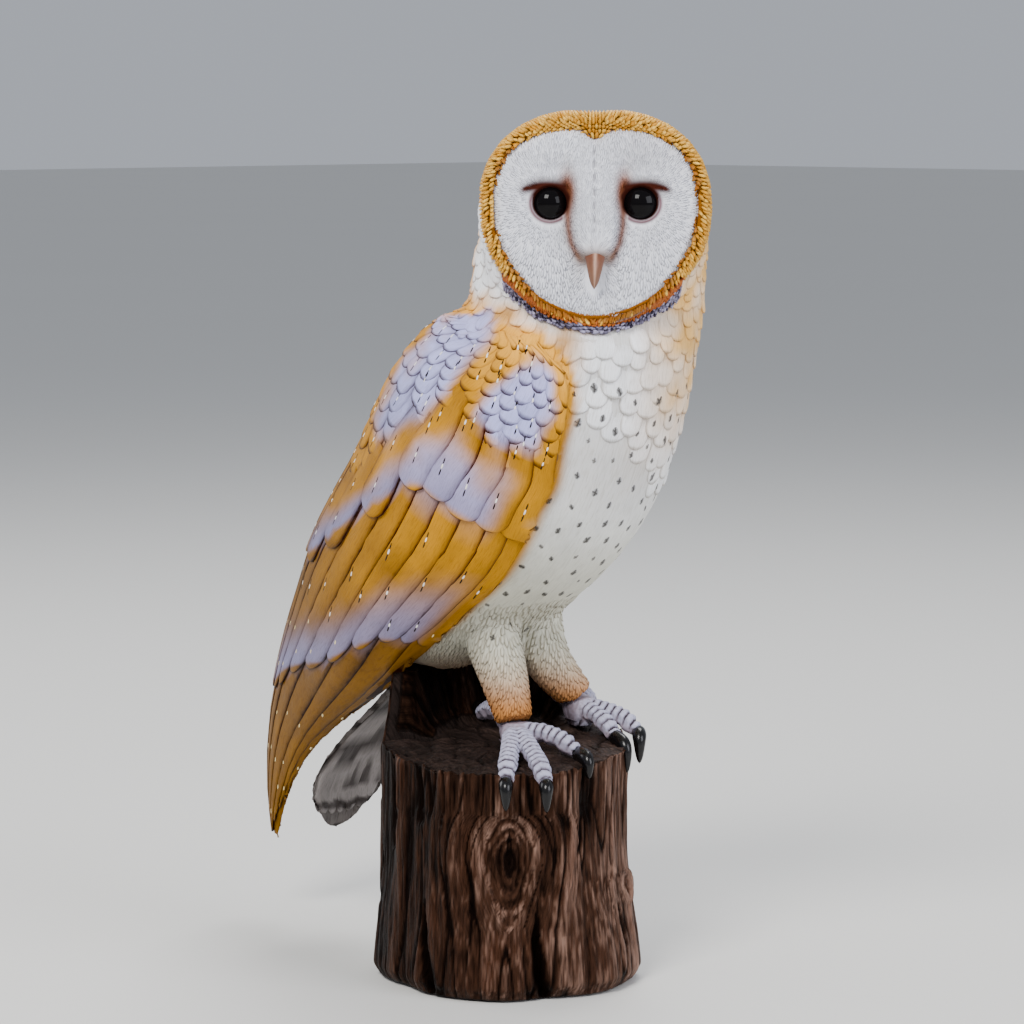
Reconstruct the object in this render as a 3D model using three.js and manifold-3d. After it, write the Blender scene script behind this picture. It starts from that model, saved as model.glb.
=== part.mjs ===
// A life-size barn owl statue in painted cast resin, perched on a moulded tree stump.
// Millimetres, +Z up. The origin is the middle of the stump's flat underside and the
// owl's breast faces -Y, so its right wing is on the -X side. Its head is turned over
// its right shoulder.
import * as THREE from "three";
import { mergeVertices } from "three/addons/utils/BufferGeometryUtils.js";
import Module from "manifold-3d";

const wasm = await Module();
wasm.setup();

// ---------------------------------------------------------------- driving dimensions

const GAP = 0.35; // clearance between neighbouring pieces
const SIMPLER = 0.04; // joined and cut surfaces may move by this much to lose needless faces
const OWL_X = 10; // the owl stands this far to the side of the stump's middle

// Stump
const STUMP_RADIUS = 51.5;
const STUMP_FLARE = 5.5; // extra radius at the foot
const STUMP_TOP = 101; // height of the cut face at the middle
const STUMP_TOP_FALL = 0.12; // the cut face falls towards the owl's right front
const STUMP_BACK_RISE = 26; // the torn lip at the back stands this far above the cut face
const STUMP_SIDES = 40;

// Head, in its own turned frame: side, up and forward from the head's middle
const HEAD_TURN = 45; // degrees over the right shoulder
const HEAD_AT = new THREE.Vector3(7.8, -43, 328);
const THROAT_AT = new THREE.Vector3(7.1, -42.4, 312); // middle of the neck behind the disc
const HEAD_SIDES = 30;
const FACE_SIDE = 46.5;
const FACE_TOP = 39.5;
const FACE_BOTTOM = 45.5;
const FACE_FRONT = 42;
const HEAD_BACK = 46;
const NAPE_SIDE = 47.5;
const EYE_SIDE = 18.2;
const EYE_UP = 2.8;
const EYE_RADIUS = 7.6;
const EYE_FRONT = 35; // forward place of the ball's middle

const TAIL_THICK = 6;
const WING_TOP = 0.86; // station number of the shoulder
const WING_THICK = 8;
const WING_CLEAR = 1.2; // the wings' inner face stands this far off the trunk
const TOE_RADIUS = 3.9;
const CLAW_RADIUS = 2.9;

// The body's envelope, from the neck to the wing tips. Each station is a ring square to
// the spine: its middle (y, z), half its width, its depth to the front and to the back.
const STATIONS = [
  { y: -37, z: 301, side: 49, front: 49, back: 46 },
  { y: -33, z: 278, side: 51, front: 52, back: 46 },
  { y: -20, z: 252, side: 54, front: 58, back: 54 },
  { y: -5, z: 228, side: 56, front: 60, back: 60 },
  { y: 11, z: 204, side: 56, front: 55, back: 59 },
  { y: 28, z: 182, side: 54, front: 46, back: 58 },
  { y: 47, z: 160, side: 49, front: 39, back: 58 },
  { y: 67, z: 139, side: 41, front: 34, back: 56 },
  { y: 87, z: 120, side: 31, front: 27, back: 50 },
  { y: 106, z: 102, side: 22, front: 19, back: 43 },
  { y: 123, z: 85, side: 16, front: 13, back: 33 },
  { y: 136, z: 68, side: 11, front: 8, back: 23 },
  { y: 145, z: 51, side: 8, front: 4, back: 13 },
  { y: 150, z: 36, side: 6, front: 2, back: 4 },
];
const TRUNK_TOP = 0.8; // station number where the neck meets the trunk
const TRUNK_TAPER = 4.7; // station number where the trunk starts to close
const TRUNK_END = 7.9;
const TRUNK_SIDES = 30;

// ---------------------------------------------------------------- shared functions

const rad = THREE.MathUtils.degToRad;
const lerp = THREE.MathUtils.lerp;
const smooth = THREE.MathUtils.smoothstep;

// Value at x of a smooth curve through [x, value] pairs.
function through(pairs, x) {
  const last = pairs.length - 1;
  if (x <= pairs[0][0]) return pairs[0][1];
  if (x >= pairs[last][0]) return pairs[last][1];
  const i = pairs.findIndex((pair) => pair[0] > x) - 1;
  const [x0, v0] = pairs[i];
  const [x1, v1] = pairs[i + 1];
  const slope = (a, b) => (pairs[b][1] - pairs[a][1]) / (pairs[b][0] - pairs[a][0]);
  const m0 = slope(Math.max(i - 1, 0), i + 1) * (x1 - x0);
  const m1 = slope(i, Math.min(i + 2, last)) * (x1 - x0);
  const t = (x - x0) / (x1 - x0);
  return (
    (2 * t ** 3 - 3 * t ** 2 + 1) * v0 +
    (t ** 3 - 2 * t ** 2 + t) * m0 +
    (3 * t ** 2 - 2 * t ** 3) * v1 +
    (t ** 3 - t ** 2) * m1
  );
}

// One closed skin over a row of rings, each a list of the same number of points.
function skinOver(rings) {
  const sides = rings[0].length;
  const points = rings.flat();
  const faces = [];
  const at = (ring, side) => ring * sides + (side % sides);
  for (let r = 0; r < rings.length - 1; r++) {
    for (let s = 0; s < sides; s++) {
      faces.push([at(r, s), at(r, s + 1), at(r + 1, s + 1)]);
      faces.push([at(r, s), at(r + 1, s + 1), at(r + 1, s)]);
    }
  }
  for (const end of [0, rings.length - 1]) {
    const middle = rings[end]
      .reduce((sum, p) => sum.add(p), new THREE.Vector3())
      .divideScalar(sides);
    points.push(middle);
    for (let s = 0; s < sides; s++) {
      const rim = [at(end, s), at(end, s + 1)];
      faces.push([points.length - 1, ...(end ? rim : rim.reverse())]);
    }
  }
  return facingOut(points, faces);
}

// One closed shell between two grids of points, the outer face's and the inner face's.
function shellBetween(outer, inner) {
  const rows = outer.length;
  const columns = outer[0].length;
  const points = [...outer.flat(), ...inner.flat()];
  const faces = [];
  const out = (row, column) => row * columns + column;
  const inn = (row, column) => rows * columns + out(row, column);
  const quad = (a, b, c, d) => faces.push([a, b, c], [a, c, d]);
  for (let r = 0; r < rows - 1; r++) {
    for (let c = 0; c < columns - 1; c++) {
      quad(out(r, c), out(r + 1, c), out(r + 1, c + 1), out(r, c + 1));
      quad(inn(r, c), inn(r, c + 1), inn(r + 1, c + 1), inn(r + 1, c));
    }
    quad(out(r, 0), inn(r, 0), inn(r + 1, 0), out(r + 1, 0));
    const end = columns - 1;
    quad(out(r, end), out(r + 1, end), inn(r + 1, end), inn(r, end));
  }
  for (let c = 0; c < columns - 1; c++) {
    quad(out(0, c), out(0, c + 1), inn(0, c + 1), inn(0, c));
    const end = rows - 1;
    quad(out(end, c), inn(end, c), inn(end, c + 1), out(end, c + 1));
  }
  return facingOut(points, faces);
}

// A geometry from points and faces, turned so that its faces point outwards.
function facingOut(points, faces) {
  let volume = 0;
  for (const [a, b, c] of faces) {
    volume += points[a].dot(points[b].clone().cross(points[c]));
  }
  const turned = volume < 0 ? faces.map(([a, b, c]) => [a, c, b]) : faces;
  return new THREE.BufferGeometry().setFromPoints(points).setIndex(turned.flat());
}

// A limb: round rings along a route, with a radius at each point of it.
function limb(route, radii, sides, steps) {
  const curve = new THREE.CatmullRomCurve3(route);
  const level = new THREE.Vector3(0, 0, 1).cross(route.at(-1).clone().sub(route[0]));
  const rings = [];
  for (let i = 0; i <= steps; i++) {
    const t = i / steps;
    const middle = curve.getPoint(t);
    const along = curve.getTangent(t);
    const across = level.clone().addScaledVector(along, -level.dot(along)).normalize();
    const other = along.clone().cross(across);
    const radius = through(radii, t);
    const ring = [];
    for (let s = 0; s < sides; s++) {
      const angle = (2 * Math.PI * s) / sides;
      ring.push(
        middle
          .clone()
          .addScaledVector(across, radius * Math.cos(angle))
          .addScaledVector(other, radius * Math.sin(angle)),
      );
    }
    rings.push(ring);
  }
  return skinOver(rings);
}

// The same geometry with its surface moved outwards.
function grown(geometry, by) {
  const bare = new THREE.BufferGeometry()
    .setAttribute("position", geometry.getAttribute("position").clone())
    .setIndex(geometry.index);
  const g = mergeVertices(bare, 1e-3);
  g.computeVertexNormals();
  const place = g.getAttribute("position");
  const normal = g.getAttribute("normal");
  for (let i = 0; i < place.count; i++) {
    place.setXYZ(
      i,
      place.getX(i) + by * normal.getX(i),
      place.getY(i) + by * normal.getY(i),
      place.getZ(i) + by * normal.getZ(i),
    );
  }
  return g;
}

function solid(geometry) {
  const bare = new THREE.BufferGeometry().setAttribute(
    "position",
    geometry.getAttribute("position"),
  );
  bare.setIndex(geometry.index);
  const g = mergeVertices(bare, 1e-4);
  return new wasm.Manifold(
    new wasm.Mesh({
      numProp: 3,
      vertProperties: new Float32Array(g.getAttribute("position").array),
      triVerts: new Uint32Array(g.index.array),
    }),
  );
}

function geometryOf(manifold) {
  const mesh = manifold.getMesh();
  return new THREE.BufferGeometry()
    .setAttribute("position", new THREE.BufferAttribute(mesh.vertProperties, 3))
    .setIndex(new THREE.BufferAttribute(mesh.triVerts, 1));
}

// One geometry less its neighbours, each with the gap around it.
function cutBy(geometry, ...neighbours) {
  let left = solid(geometry);
  for (const neighbour of neighbours) {
    left = left.subtract(solid(grown(neighbour, GAP)));
  }
  const bodies = left.decompose();
  bodies.sort((a, b) => b.volume() - a.volume());
  return geometryOf(bodies[0].simplify(SIMPLER));
}

function joined(...geometries) {
  return geometryOf(wasm.Manifold.union(geometries.map(solid)).simplify(SIMPLER));
}

// ---------------------------------------------------------------- body envelope

const station = (key, s) => through(STATIONS.map((e, i) => [i, e[key]]), s);

// Point on the envelope: s is the station number, phi runs from the breast (0) by the
// owl's right side (90) to the back (180), and out is the distance outside the surface.
function bodyPoint(s, phi, out = 0, scale = 1) {
  const y = station("y", s);
  const z = station("z", s);
  const dy = station("y", s + 0.05) - station("y", s - 0.05);
  const dz = station("z", s + 0.05) - station("z", s - 0.05);
  const run = Math.hypot(dy, dz);
  const along = { y: dy / run, z: dz / run };
  const forward = Math.cos(rad(phi));
  const depth = station(forward > 0 ? "front" : "back", s) * scale + out;
  const side = station("side", s) * scale + out;
  return new THREE.Vector3(
    OWL_X - side * Math.sin(rad(phi)),
    y + depth * forward * along.z,
    z - depth * forward * along.y,
  );
}

function bodyRing(s, sides, scale = 1) {
  return Array.from({ length: sides }, (_, i) => bodyPoint(s, (360 * i) / sides, 0, scale));
}

// ---------------------------------------------------------------- head, bill and eyes

const headTurn = new THREE.Matrix4()
  .makeTranslation(HEAD_AT)
  .multiply(new THREE.Matrix4().makeRotationZ(rad(-HEAD_TURN)));
const inHead = (side, up, forward) =>
  new THREE.Vector3(side, -forward, up).applyMatrix4(headTurn);

// Outline of the facial disc's rim: an egg with a squarer crown and a low notch in it.
function faceRadius(angle) {
  const c = Math.cos(angle);
  const s = Math.sin(angle);
  if (s < 0) return 1 / Math.hypot(c / FACE_SIDE, s / FACE_BOTTOM);
  const square = 2.35; // the crown is a little squarer than an ellipse
  const crown = (Math.abs(c) / FACE_SIDE) ** square + (s / FACE_TOP) ** square;
  const notch = Math.exp(-((c / 0.2) ** 2));
  return crown ** (-1 / square) - 1.4 * notch;
}

// Outline of the head behind the disc, straight-sided below where the neck takes over.
function napeRadius(angle) {
  const c = Math.abs(Math.cos(angle));
  const s = Math.sin(angle);
  const side = lerp(NAPE_SIDE, FACE_SIDE - 1.5, smooth(s, 0, 0.5));
  if (s > 0) return 1 / ((c / side) ** 2.2 + (s / (FACE_TOP - 1)) ** 2.2) ** (1 / 2.2);
  return 1 / ((c / NAPE_SIDE) ** 3.5 + (-s / FACE_BOTTOM) ** 3.5) ** (1 / 3.5);
}

function head() {
  const shoulder = [
    [0.12, FACE_FRONT + 3],
    [0.3, FACE_FRONT - 2],
    [0.55, FACE_FRONT - 5.5],
    [0.8, FACE_FRONT - 3.5],
    [0.92, FACE_FRONT],
    [0.99, FACE_FRONT - 2],
    [1, FACE_FRONT - 8],
    [1, FACE_FRONT - 22],
    [1, 4],
    [0.99, -9],
    [0.92, -22],
    [0.76, -34],
    [0.52, -42],
    [0.24, -HEAD_BACK + 1],
  ];
  const rings = shoulder.map(([scale, forward]) =>
    Array.from({ length: HEAD_SIDES }, (_, i) => {
      const angle = (2 * Math.PI * i) / HEAD_SIDES;
      const nape = smooth(FACE_FRONT - forward, 6, 26) * (scale > 0.9 || forward < 0 ? 1 : 0);
      const reach = lerp(faceRadius(angle), napeRadius(angle), nape) * scale;
      const side = reach * Math.cos(angle);
      // behind the face the crown falls away in a dome
      const fall = 1 - 0.12 * smooth(FACE_FRONT - forward, 18, 64) * smooth(Math.sin(angle), 0, 0.4);
      const up = reach * Math.sin(angle) * fall;
      // the muzzle stands up between the eyes and runs down to the bill
      const muzzle = Math.exp(-((side / 8.5) ** 2)) * smooth(up, -30, -14) * (1 - smooth(up, 14, 34));
      const onFace = forward > FACE_FRONT - 6.5 && scale < 0.9;
      return inHead(side, up, forward + (onFace ? 6 * muzzle : 0));
    }),
  );
  return skinOver(rings);
}

function bill() {
  const route = [
    inHead(0, -12, FACE_FRONT - 4),
    inHead(0, -18, FACE_FRONT + 4),
    inHead(0, -26, FACE_FRONT + 6.5),
    inHead(0, -32.5, FACE_FRONT + 3),
  ];
  return limb(route, [[0, 3.8], [0.35, 3.9], [0.7, 2.7], [1, 0.5]], 10, 7);
}

function eye(sign) {
  return new THREE.SphereGeometry(EYE_RADIUS, 14, 8)
    .rotateX(Math.PI / 2)
    .translate(sign * EYE_SIDE, -EYE_FRONT, EYE_UP)
    .applyMatrix4(headTurn);
}

// ---------------------------------------------------------------- neck and trunk

// The neck turns from the trunk's collar into the narrower throat behind the disc.
function neck() {
  const collar = bodyRing(TRUNK_TOP - 0.012, TRUNK_SIDES);
  const rings = [0, 0.3, 0.6, 0.85, 1].map((t) =>
    collar.map((low) => {
      const world = Math.atan2(low.y - THROAT_AT.y, low.x - THROAT_AT.x);
      const across = Math.cos(world + rad(HEAD_TURN));
      const ahead = -Math.sin(world + rad(HEAD_TURN));
      const reach = 1 / Math.hypot(across / 49, ahead / (ahead > 0 ? 31 : 43));
      const high = new THREE.Vector3(reach * Math.cos(world), reach * Math.sin(world), 0);
      const place = low.clone().lerp(high.add(THROAT_AT), Math.sqrt(t));
      return place.setZ(lerp(low.z, THROAT_AT.z, t));
    }),
  );
  return skinOver(rings);
}

function trunk() {
  const rings = [];
  const count = 15;
  for (let i = 0; i <= count; i++) {
    const s = lerp(TRUNK_TOP + 0.012, TRUNK_END, (i / count) ** 0.92);
    const close = Math.max(0, (s - TRUNK_TAPER) / (TRUNK_END - TRUNK_TAPER));
    rings.push(bodyRing(s, TRUNK_SIDES, Math.sqrt(Math.max(1 - close ** 2.2, 0.012))));
  }
  return skinOver(rings);
}

// ---------------------------------------------------------------- wings and tail

// A folded wing: a shell over the body's side. edges give, for each station, the angle
// of its front edge and of its back edge.
function wing(sign, frontEdge, backEdge, last) {
  const steps = 18;
  const across = 9;
  const outside = [];
  const inside = [];
  for (let i = 0; i <= steps; i++) {
    const t = (i / steps) ** 1.35;
    const s = lerp(WING_TOP, last, t);
    const from = through(frontEdge, s);
    const to = through(backEdge, s);
    const thick = WING_THICK * Math.min(smooth(t, -0.05, 0.12), 1 - 0.75 * smooth(t, 0.45, 1));
    const outer = [];
    const inner = [];
    for (let j = 0; j <= across; j++) {
      const v = j / across;
      const phi = lerp(from, to, v);
      const edge = Math.sqrt(Math.max(1 - (2 * v - 1) ** 4, 0));
      outer.push(bodyPoint(s, phi, WING_CLEAR + 1.2 + (thick - 1.2) * edge));
      inner.push(bodyPoint(s, phi, WING_CLEAR));
    }
    if (sign > 0) [...outer, ...inner].forEach((p) => (p.x = 2 * OWL_X - p.x));
    outside.push(outer);
    inside.push(inner);
  }
  return shellBetween(outside, inside);
}

const RIGHT_FRONT_EDGE = [
  [0.86, 64], [0.98, 52], [1.2, 46], [1.5, 43], [2, 42], [2.5, 39],
  [3, 40], [4, 37], [5, 38], [6, 41], [7, 44], [8, 50], [9, 57], [10, 62],
  [11, 66], [12, 70], [13, 78],
];
const LEFT_FRONT_EDGE = [
  [0.86, 76], [1.1, 65], [1.5, 60], [2, 58], [3, 57], [4, 57], [5, 59],
  [6, 62], [7, 68], [8, 80], [9, 104], [10, 128], [11, 144], [13, 158],
];
const BACK_EDGE = [
  [0.86, 108], [1.3, 136], [1.8, 156], [2.5, 166], [4, 173], [6, 176],
  [13, 174],
];

// The tail: a gently arched fan under the wing tips.
function tail() {
  const route = new THREE.CatmullRomCurve3([
    new THREE.Vector3(OWL_X, 50, 142),
    new THREE.Vector3(OWL_X, 73, 116),
    new THREE.Vector3(OWL_X, 92, 95),
    new THREE.Vector3(OWL_X, 105, 73),
    new THREE.Vector3(OWL_X, 112, 48),
  ]);
  const topFaces = [];
  const underFaces = [];
  const steps = 10;
  const across = 8;
  for (let i = 0; i <= steps; i++) {
    const t = i / steps;
    const middle = route.getPoint(t);
    const along = route.getTangent(t);
    const down = new THREE.Vector3(0, along.z, -along.y);
    const half = through([[0, 14], [0.4, 20], [0.7, 24], [0.88, 21], [1, 13]], t);
    const thick = TAIL_THICK * (1 - 0.45 * t);
    const top = [];
    const under = [];
    for (let j = 0; j <= across; j++) {
      const v = (2 * j) / across - 1;
      const arch = 4 * v * v;
      const rounded = 9 * t ** 4 * v * v;
      const place = middle
        .clone()
        .addScaledVector(down, arch)
        .addScaledVector(along, -rounded)
        .add(new THREE.Vector3(half * v, 0, 0));
      const edge = Math.sqrt(Math.max(1 - v ** 4, 0));
      top.push(place.clone());
      under.push(place.clone().addScaledVector(down, 1 + (thick - 1) * edge));
    }
    topFaces.push(top);
    underFaces.push(under);
  }
  return shellBetween(topFaces, underFaces);
}

// ---------------------------------------------------------------- legs, feet and claws

const topFace = (x, y) => STUMP_TOP + STUMP_TOP_FALL * (x + y) * Math.SQRT1_2;

function leg(hip, knee, ankle) {
  return limb([hip, knee, ankle], [[0, 13], [0.5, 10.5], [0.8, 9], [1, 8]], 14, 6);
}

// A toe runs from the ankle over a knuckle to its tip.
function toeRoute(ankle, tip) {
  const root = ankle.clone().lerp(tip, 0.08);
  root.z = ankle.z - 4.5;
  const knuckle = ankle.clone().lerp(tip, 0.55);
  knuckle.z = Math.max(topFace(knuckle.x, knuckle.y), tip.z) + TOE_RADIUS + 1.2;
  return [root, knuckle, tip.clone()];
}

function foot(ankle, tips) {
  const pad = limb(
    [
      new THREE.Vector3(ankle.x, ankle.y, ankle.z - 0.4),
      new THREE.Vector3(ankle.x, ankle.y - 0.5, topFace(ankle.x, ankle.y) + 0.6),
    ],
    [[0, 7.2], [1, 8]],
    14,
    2,
  );
  const toes = tips.map(({ tip }) =>
    limb(toeRoute(ankle, tip), [[0, 4.6], [0.6, TOE_RADIUS], [0.92, 4.1], [1, 2.9]], 7, 5),
  );
  return joined(pad, ...toes);
}

// A claw hooks down from the toe's tip.
function claw({ tip, point }) {
  const middle = tip.clone().lerp(point, 0.45);
  const out = point.clone().sub(tip).setZ(0);
  middle.addScaledVector(out, 0.35);
  middle.z += 2.2;
  const start = tip.clone().addScaledVector(out.normalize(), -0.8);
  return limb([start, middle, point], [[0, CLAW_RADIUS], [0.5, 2.4], [1, 0.35]], 7, 5);
}

const RIGHT_ANKLE = new THREE.Vector3(-6, -11, 111);
const RIGHT_KNEE = new THREE.Vector3(-3.5, -1.5, 130);
const RIGHT_HIP = new THREE.Vector3(-3, 9, 152);
const RIGHT_TIPS = {
  outer: { tip: new THREE.Vector3(-36.5, -36.5, 94.5), point: new THREE.Vector3(-42, -42, 81) },
  middle: { tip: new THREE.Vector3(-26, -49.5, 94), point: new THREE.Vector3(-30.5, -54, 80.5) },
  inner: { tip: new THREE.Vector3(2, -40, 101.5), point: new THREE.Vector3(-4, -53, 91) },
  back: { tip: new THREE.Vector3(10, 24, 108), point: new THREE.Vector3(13, 31, 107) },
};
const LEFT_ANKLE = new THREE.Vector3(33, -10, 117);
const LEFT_KNEE = new THREE.Vector3(23, -1, 134);
const LEFT_HIP = new THREE.Vector3(23, 8, 154);
const LEFT_TIPS = {
  inner: { tip: new THREE.Vector3(30.5, -34, 105), point: new THREE.Vector3(27.5, -41, 90) },
  middle: { tip: new THREE.Vector3(42, -38, 106), point: new THREE.Vector3(36, -44, 91) },
  outer: { tip: new THREE.Vector3(54, 3, 110), point: new THREE.Vector3(60.5, 5, 99) },
  back: { tip: new THREE.Vector3(44, 16, 111), point: new THREE.Vector3(46.5, 24, 106.5) },
};

// ---------------------------------------------------------------- stump

// Height of the outer edge: level round the front, torn and tall at the back.
function lipHeight(angle) {
  const degrees = THREE.MathUtils.radToDeg(angle);
  const rise = smooth(degrees, -4, 48) * (1 - smooth(degrees, 118, 137));
  return STUMP_BACK_RISE * rise;
}

// Lobes of the flared foot and long hollows of the weathered side.
function wallRadius(angle, height) {
  const low = 1 - smooth(height, 0, 60);
  const lobes = 1.5 * Math.cos(5 * angle + 0.6) + 0.9 * Math.cos(9 * angle + 2);
  const hollows = 0.8 * Math.cos(7 * angle + 1.1) + 0.5 * Math.cos(13 * angle);
  const foot = STUMP_FLARE * low - 3 * (1 - smooth(height, 0, 7));
  return STUMP_RADIUS + foot + lobes * low + hollows * (1 - low);
}

function stump() {
  const around = (ring) =>
    Array.from({ length: STUMP_SIDES }, (_, i) => {
      const angle = (2 * Math.PI * i) / STUMP_SIDES - Math.PI;
      return ring(angle);
    });
  const at = (angle, radius, z) =>
    new THREE.Vector3(radius * Math.cos(angle), radius * Math.sin(angle), z);
  const edge = (angle) => {
    const radius = wallRadius(angle, STUMP_TOP);
    return topFace(radius * Math.cos(angle), radius * Math.sin(angle)) + lipHeight(angle);
  };
  const wall = [0, 0.04, 0.14, 0.3, 0.48, 0.66, 0.83, 0.96].map((part) =>
    around((angle) => at(angle, wallRadius(angle, part * edge(angle)), part * edge(angle))),
  );
  const top = [
    [0.975, 0, 1],
    [0.8, 0.4, 0.97],
    [0.66, 0, 0.25],
    [0.56, 0, 0],
    [0.2, -0.5, 0],
  ].map(([share, bump, lip]) =>
    around((angle) => {
      const radius = wallRadius(angle, STUMP_TOP) * share;
      const x = radius * Math.cos(angle);
      const y = radius * Math.sin(angle);
      return at(angle, radius, topFace(x, y) + bump + lip * lipHeight(angle));
    }),
  );
  return skinOver([...wall, ...top]);
}

// ---------------------------------------------------------------- materials and scene

const paint = (color, roughness) => new THREE.MeshStandardMaterial({ color, roughness, metalness: 0 });
const MATERIALS = {
  bark: paint("#5a4030", 0.7),
  white: paint("#dcdad2", 0.6),
  cream: paint("#d8cdb0", 0.6),
  gold: paint("#cb8f35", 0.55),
  grey: paint("#a79f9d", 0.6),
  toe: paint("#b7aeb5", 0.5),
  claw: paint("#0c0b0c", 0.2),
  eye: paint("#060506", 0.05),
  bill: paint("#b58a7c", 0.4),
};

const owl = new THREE.Group();
owl.name = "barn_owl_statue";

function add(name, geometry, material) {
  const mesh = new THREE.Mesh(geometry, material);
  mesh.name = name;
  geometry.computeVertexNormals();
  owl.add(mesh);
  return geometry;
}

const eyes = { left: eye(1), right: eye(-1) };
const billShape = bill();
const trunkShape = add("trunk", trunk(), MATERIALS.white);
add("eye_left", eyes.left, MATERIALS.eye);
add("eye_right", eyes.right, MATERIALS.eye);
add("bill", billShape, MATERIALS.bill);
const wings = [];
const neckShape = add("neck", neck(), MATERIALS.cream);
const headShape = cutBy(head(), neckShape, trunkShape, eyes.left, eyes.right, billShape);
add("head", headShape, MATERIALS.white);
for (const [side, sign, frontEdge, tip] of [
  ["right", -1, RIGHT_FRONT_EDGE, 13],
  ["left", 1, LEFT_FRONT_EDGE, 10.8],
]) {
  const wingShape = cutBy(wing(sign, frontEdge, BACK_EDGE, tip), trunkShape, neckShape);
  wings.push(add("wing_" + side, wingShape, MATERIALS.gold));
}
const tailShape = add("tail", cutBy(tail(), trunkShape), MATERIALS.grey);

const footing = [];
const legs = [];
for (const [side, hip, knee, ankle, tips] of [
  ["right", RIGHT_HIP, RIGHT_KNEE, RIGHT_ANKLE, RIGHT_TIPS],
  ["left", LEFT_HIP, LEFT_KNEE, LEFT_ANKLE, LEFT_TIPS],
]) {
  const footShape = foot(ankle, Object.values(tips));
  const legShape = cutBy(leg(hip, knee, ankle), trunkShape, footShape, ...legs);
  legs.push(add("leg_" + side, legShape, MATERIALS.cream));
  const claws = Object.entries(tips).map(([toe, tip]) => {
    const shape = claw(tip);
    add("claw_" + side + "_" + toe, shape, MATERIALS.claw);
    return shape;
  });
  add("foot_" + side, cutBy(footShape, ...claws), MATERIALS.toe);
  footing.push(footShape, ...claws);
}
add("stump", cutBy(stump(), trunkShape, tailShape, ...wings, ...footing), MATERIALS.bark);

export default owl;
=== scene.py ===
"""A life-size barn owl garden ornament: hollow cast polyresin, moulded in one with its
feathers and its tree stump, primed white, sprayed in gold and lavender and picked out by
brush. Metres, +Z up; the breast faces -Y and the head is turned over the right shoulder."""

import math
import random

import bmesh
import bpy
import numpy as np
from mathutils import Euler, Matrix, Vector, noise
from mathutils.bvhtree import BVHTree


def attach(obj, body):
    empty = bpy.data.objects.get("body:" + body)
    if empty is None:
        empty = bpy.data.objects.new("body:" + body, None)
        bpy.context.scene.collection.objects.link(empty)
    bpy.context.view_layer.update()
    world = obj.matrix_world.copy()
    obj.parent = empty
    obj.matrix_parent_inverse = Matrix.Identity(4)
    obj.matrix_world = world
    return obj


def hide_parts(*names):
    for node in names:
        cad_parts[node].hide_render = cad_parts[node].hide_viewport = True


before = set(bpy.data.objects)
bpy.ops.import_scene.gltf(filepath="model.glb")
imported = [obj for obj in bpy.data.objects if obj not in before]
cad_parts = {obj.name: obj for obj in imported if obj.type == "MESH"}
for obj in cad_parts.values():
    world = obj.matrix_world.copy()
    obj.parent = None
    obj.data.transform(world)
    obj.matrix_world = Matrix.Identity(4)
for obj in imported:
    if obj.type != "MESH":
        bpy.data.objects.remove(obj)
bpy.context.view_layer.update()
MM = 0.001

# ---------------------------------------------------------------- studio
# A table top in pale matt laminate under soft boxes, with a long lens level with the
# crown of the head. Nothing here is part of the statue.

CAMERA_DISTANCE = 1.5
CAMERA_HEIGHT = 0.37
CAMERA_SIDE = 0.0025  # the lens stands this far to the right of the stump's axis
CAMERA_TURN = math.radians(-45)
CAMERA_DIP = math.radians(6.53)
CAMERA_VIEW = math.radians(16.3)
FLOOR_SIZE = 30.0
SOFT_BOXES = [  # name, place (across, away, up), width, watts, colour
    ("key_box", (-0.6, 1.3, 1.5), 0.7, 42, "#fffcf8"),
    ("fill_box", (1.4, 1.0, 0.9), 1.1, 26, "#f6f7ff"),
    ("top_box", (0.2, -0.9, 1.6), 0.9, 22, "#ffffff"),
    ("low_box", (-1.3, -0.6, 0.7), 0.8, 8, "#ffffff"),
]
LIT_POINT = Vector((0, 0, 0.2))
SKY_STRENGTH = 0.6


def linear(code):
    """The linear colour of an sRGB hex value."""
    parts = [int(code[i : i + 2], 16) / 255 for i in (1, 3, 5)]
    return tuple(p / 12.92 if p <= 0.04045 else ((p + 0.055) / 1.055) ** 2.4 for p in parts) + (1.0,)


def add_node(tree, kind, settings=None, links=None):
    """A new node with its settings (its own values or its inputs') and its links."""
    made = tree.nodes.new("ShaderNode" + kind)
    for key, value in (settings or {}).items():
        if isinstance(key, int) or key in made.inputs:
            made.inputs[key].default_value = value
        else:
            setattr(made, key, value)
    for key, source in (links or {}).items():
        tree.links.new(source, made.inputs[key])
    return made


def new_finish(name, settings):
    """A new material with the settings of its shader: the material, its tree, its shader."""
    material = bpy.data.materials.new(name)
    material.use_nodes = True
    tree = material.node_tree
    tree.nodes.clear()
    shader = add_node(tree, "BsdfPrincipled", settings)
    add_node(tree, "OutputMaterial", links={"Surface": shader.outputs["BSDF"]})
    return material, tree, shader


def in_scene(name, data):
    """A new object that is linked to the scene."""
    made = bpy.data.objects.new(name, data)
    bpy.context.scene.collection.objects.link(made)
    return made


def in_view(across, away, up):
    """A point given from the stump's foot: right of the lens's axis, towards the lens, up."""
    c, s = math.cos(CAMERA_TURN), math.sin(CAMERA_TURN)
    return Vector((across * c + away * s, across * s - away * c, up))


camera = in_scene("camera", bpy.data.cameras.new("camera"))
camera.location = in_view(CAMERA_SIDE, CAMERA_DISTANCE, CAMERA_HEIGHT)
camera.rotation_euler = Euler((math.pi / 2 - CAMERA_DIP, 0, CAMERA_TURN))
camera.data.sensor_fit = "HORIZONTAL"
camera.data.angle = CAMERA_VIEW
bpy.context.scene.camera = camera

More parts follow.
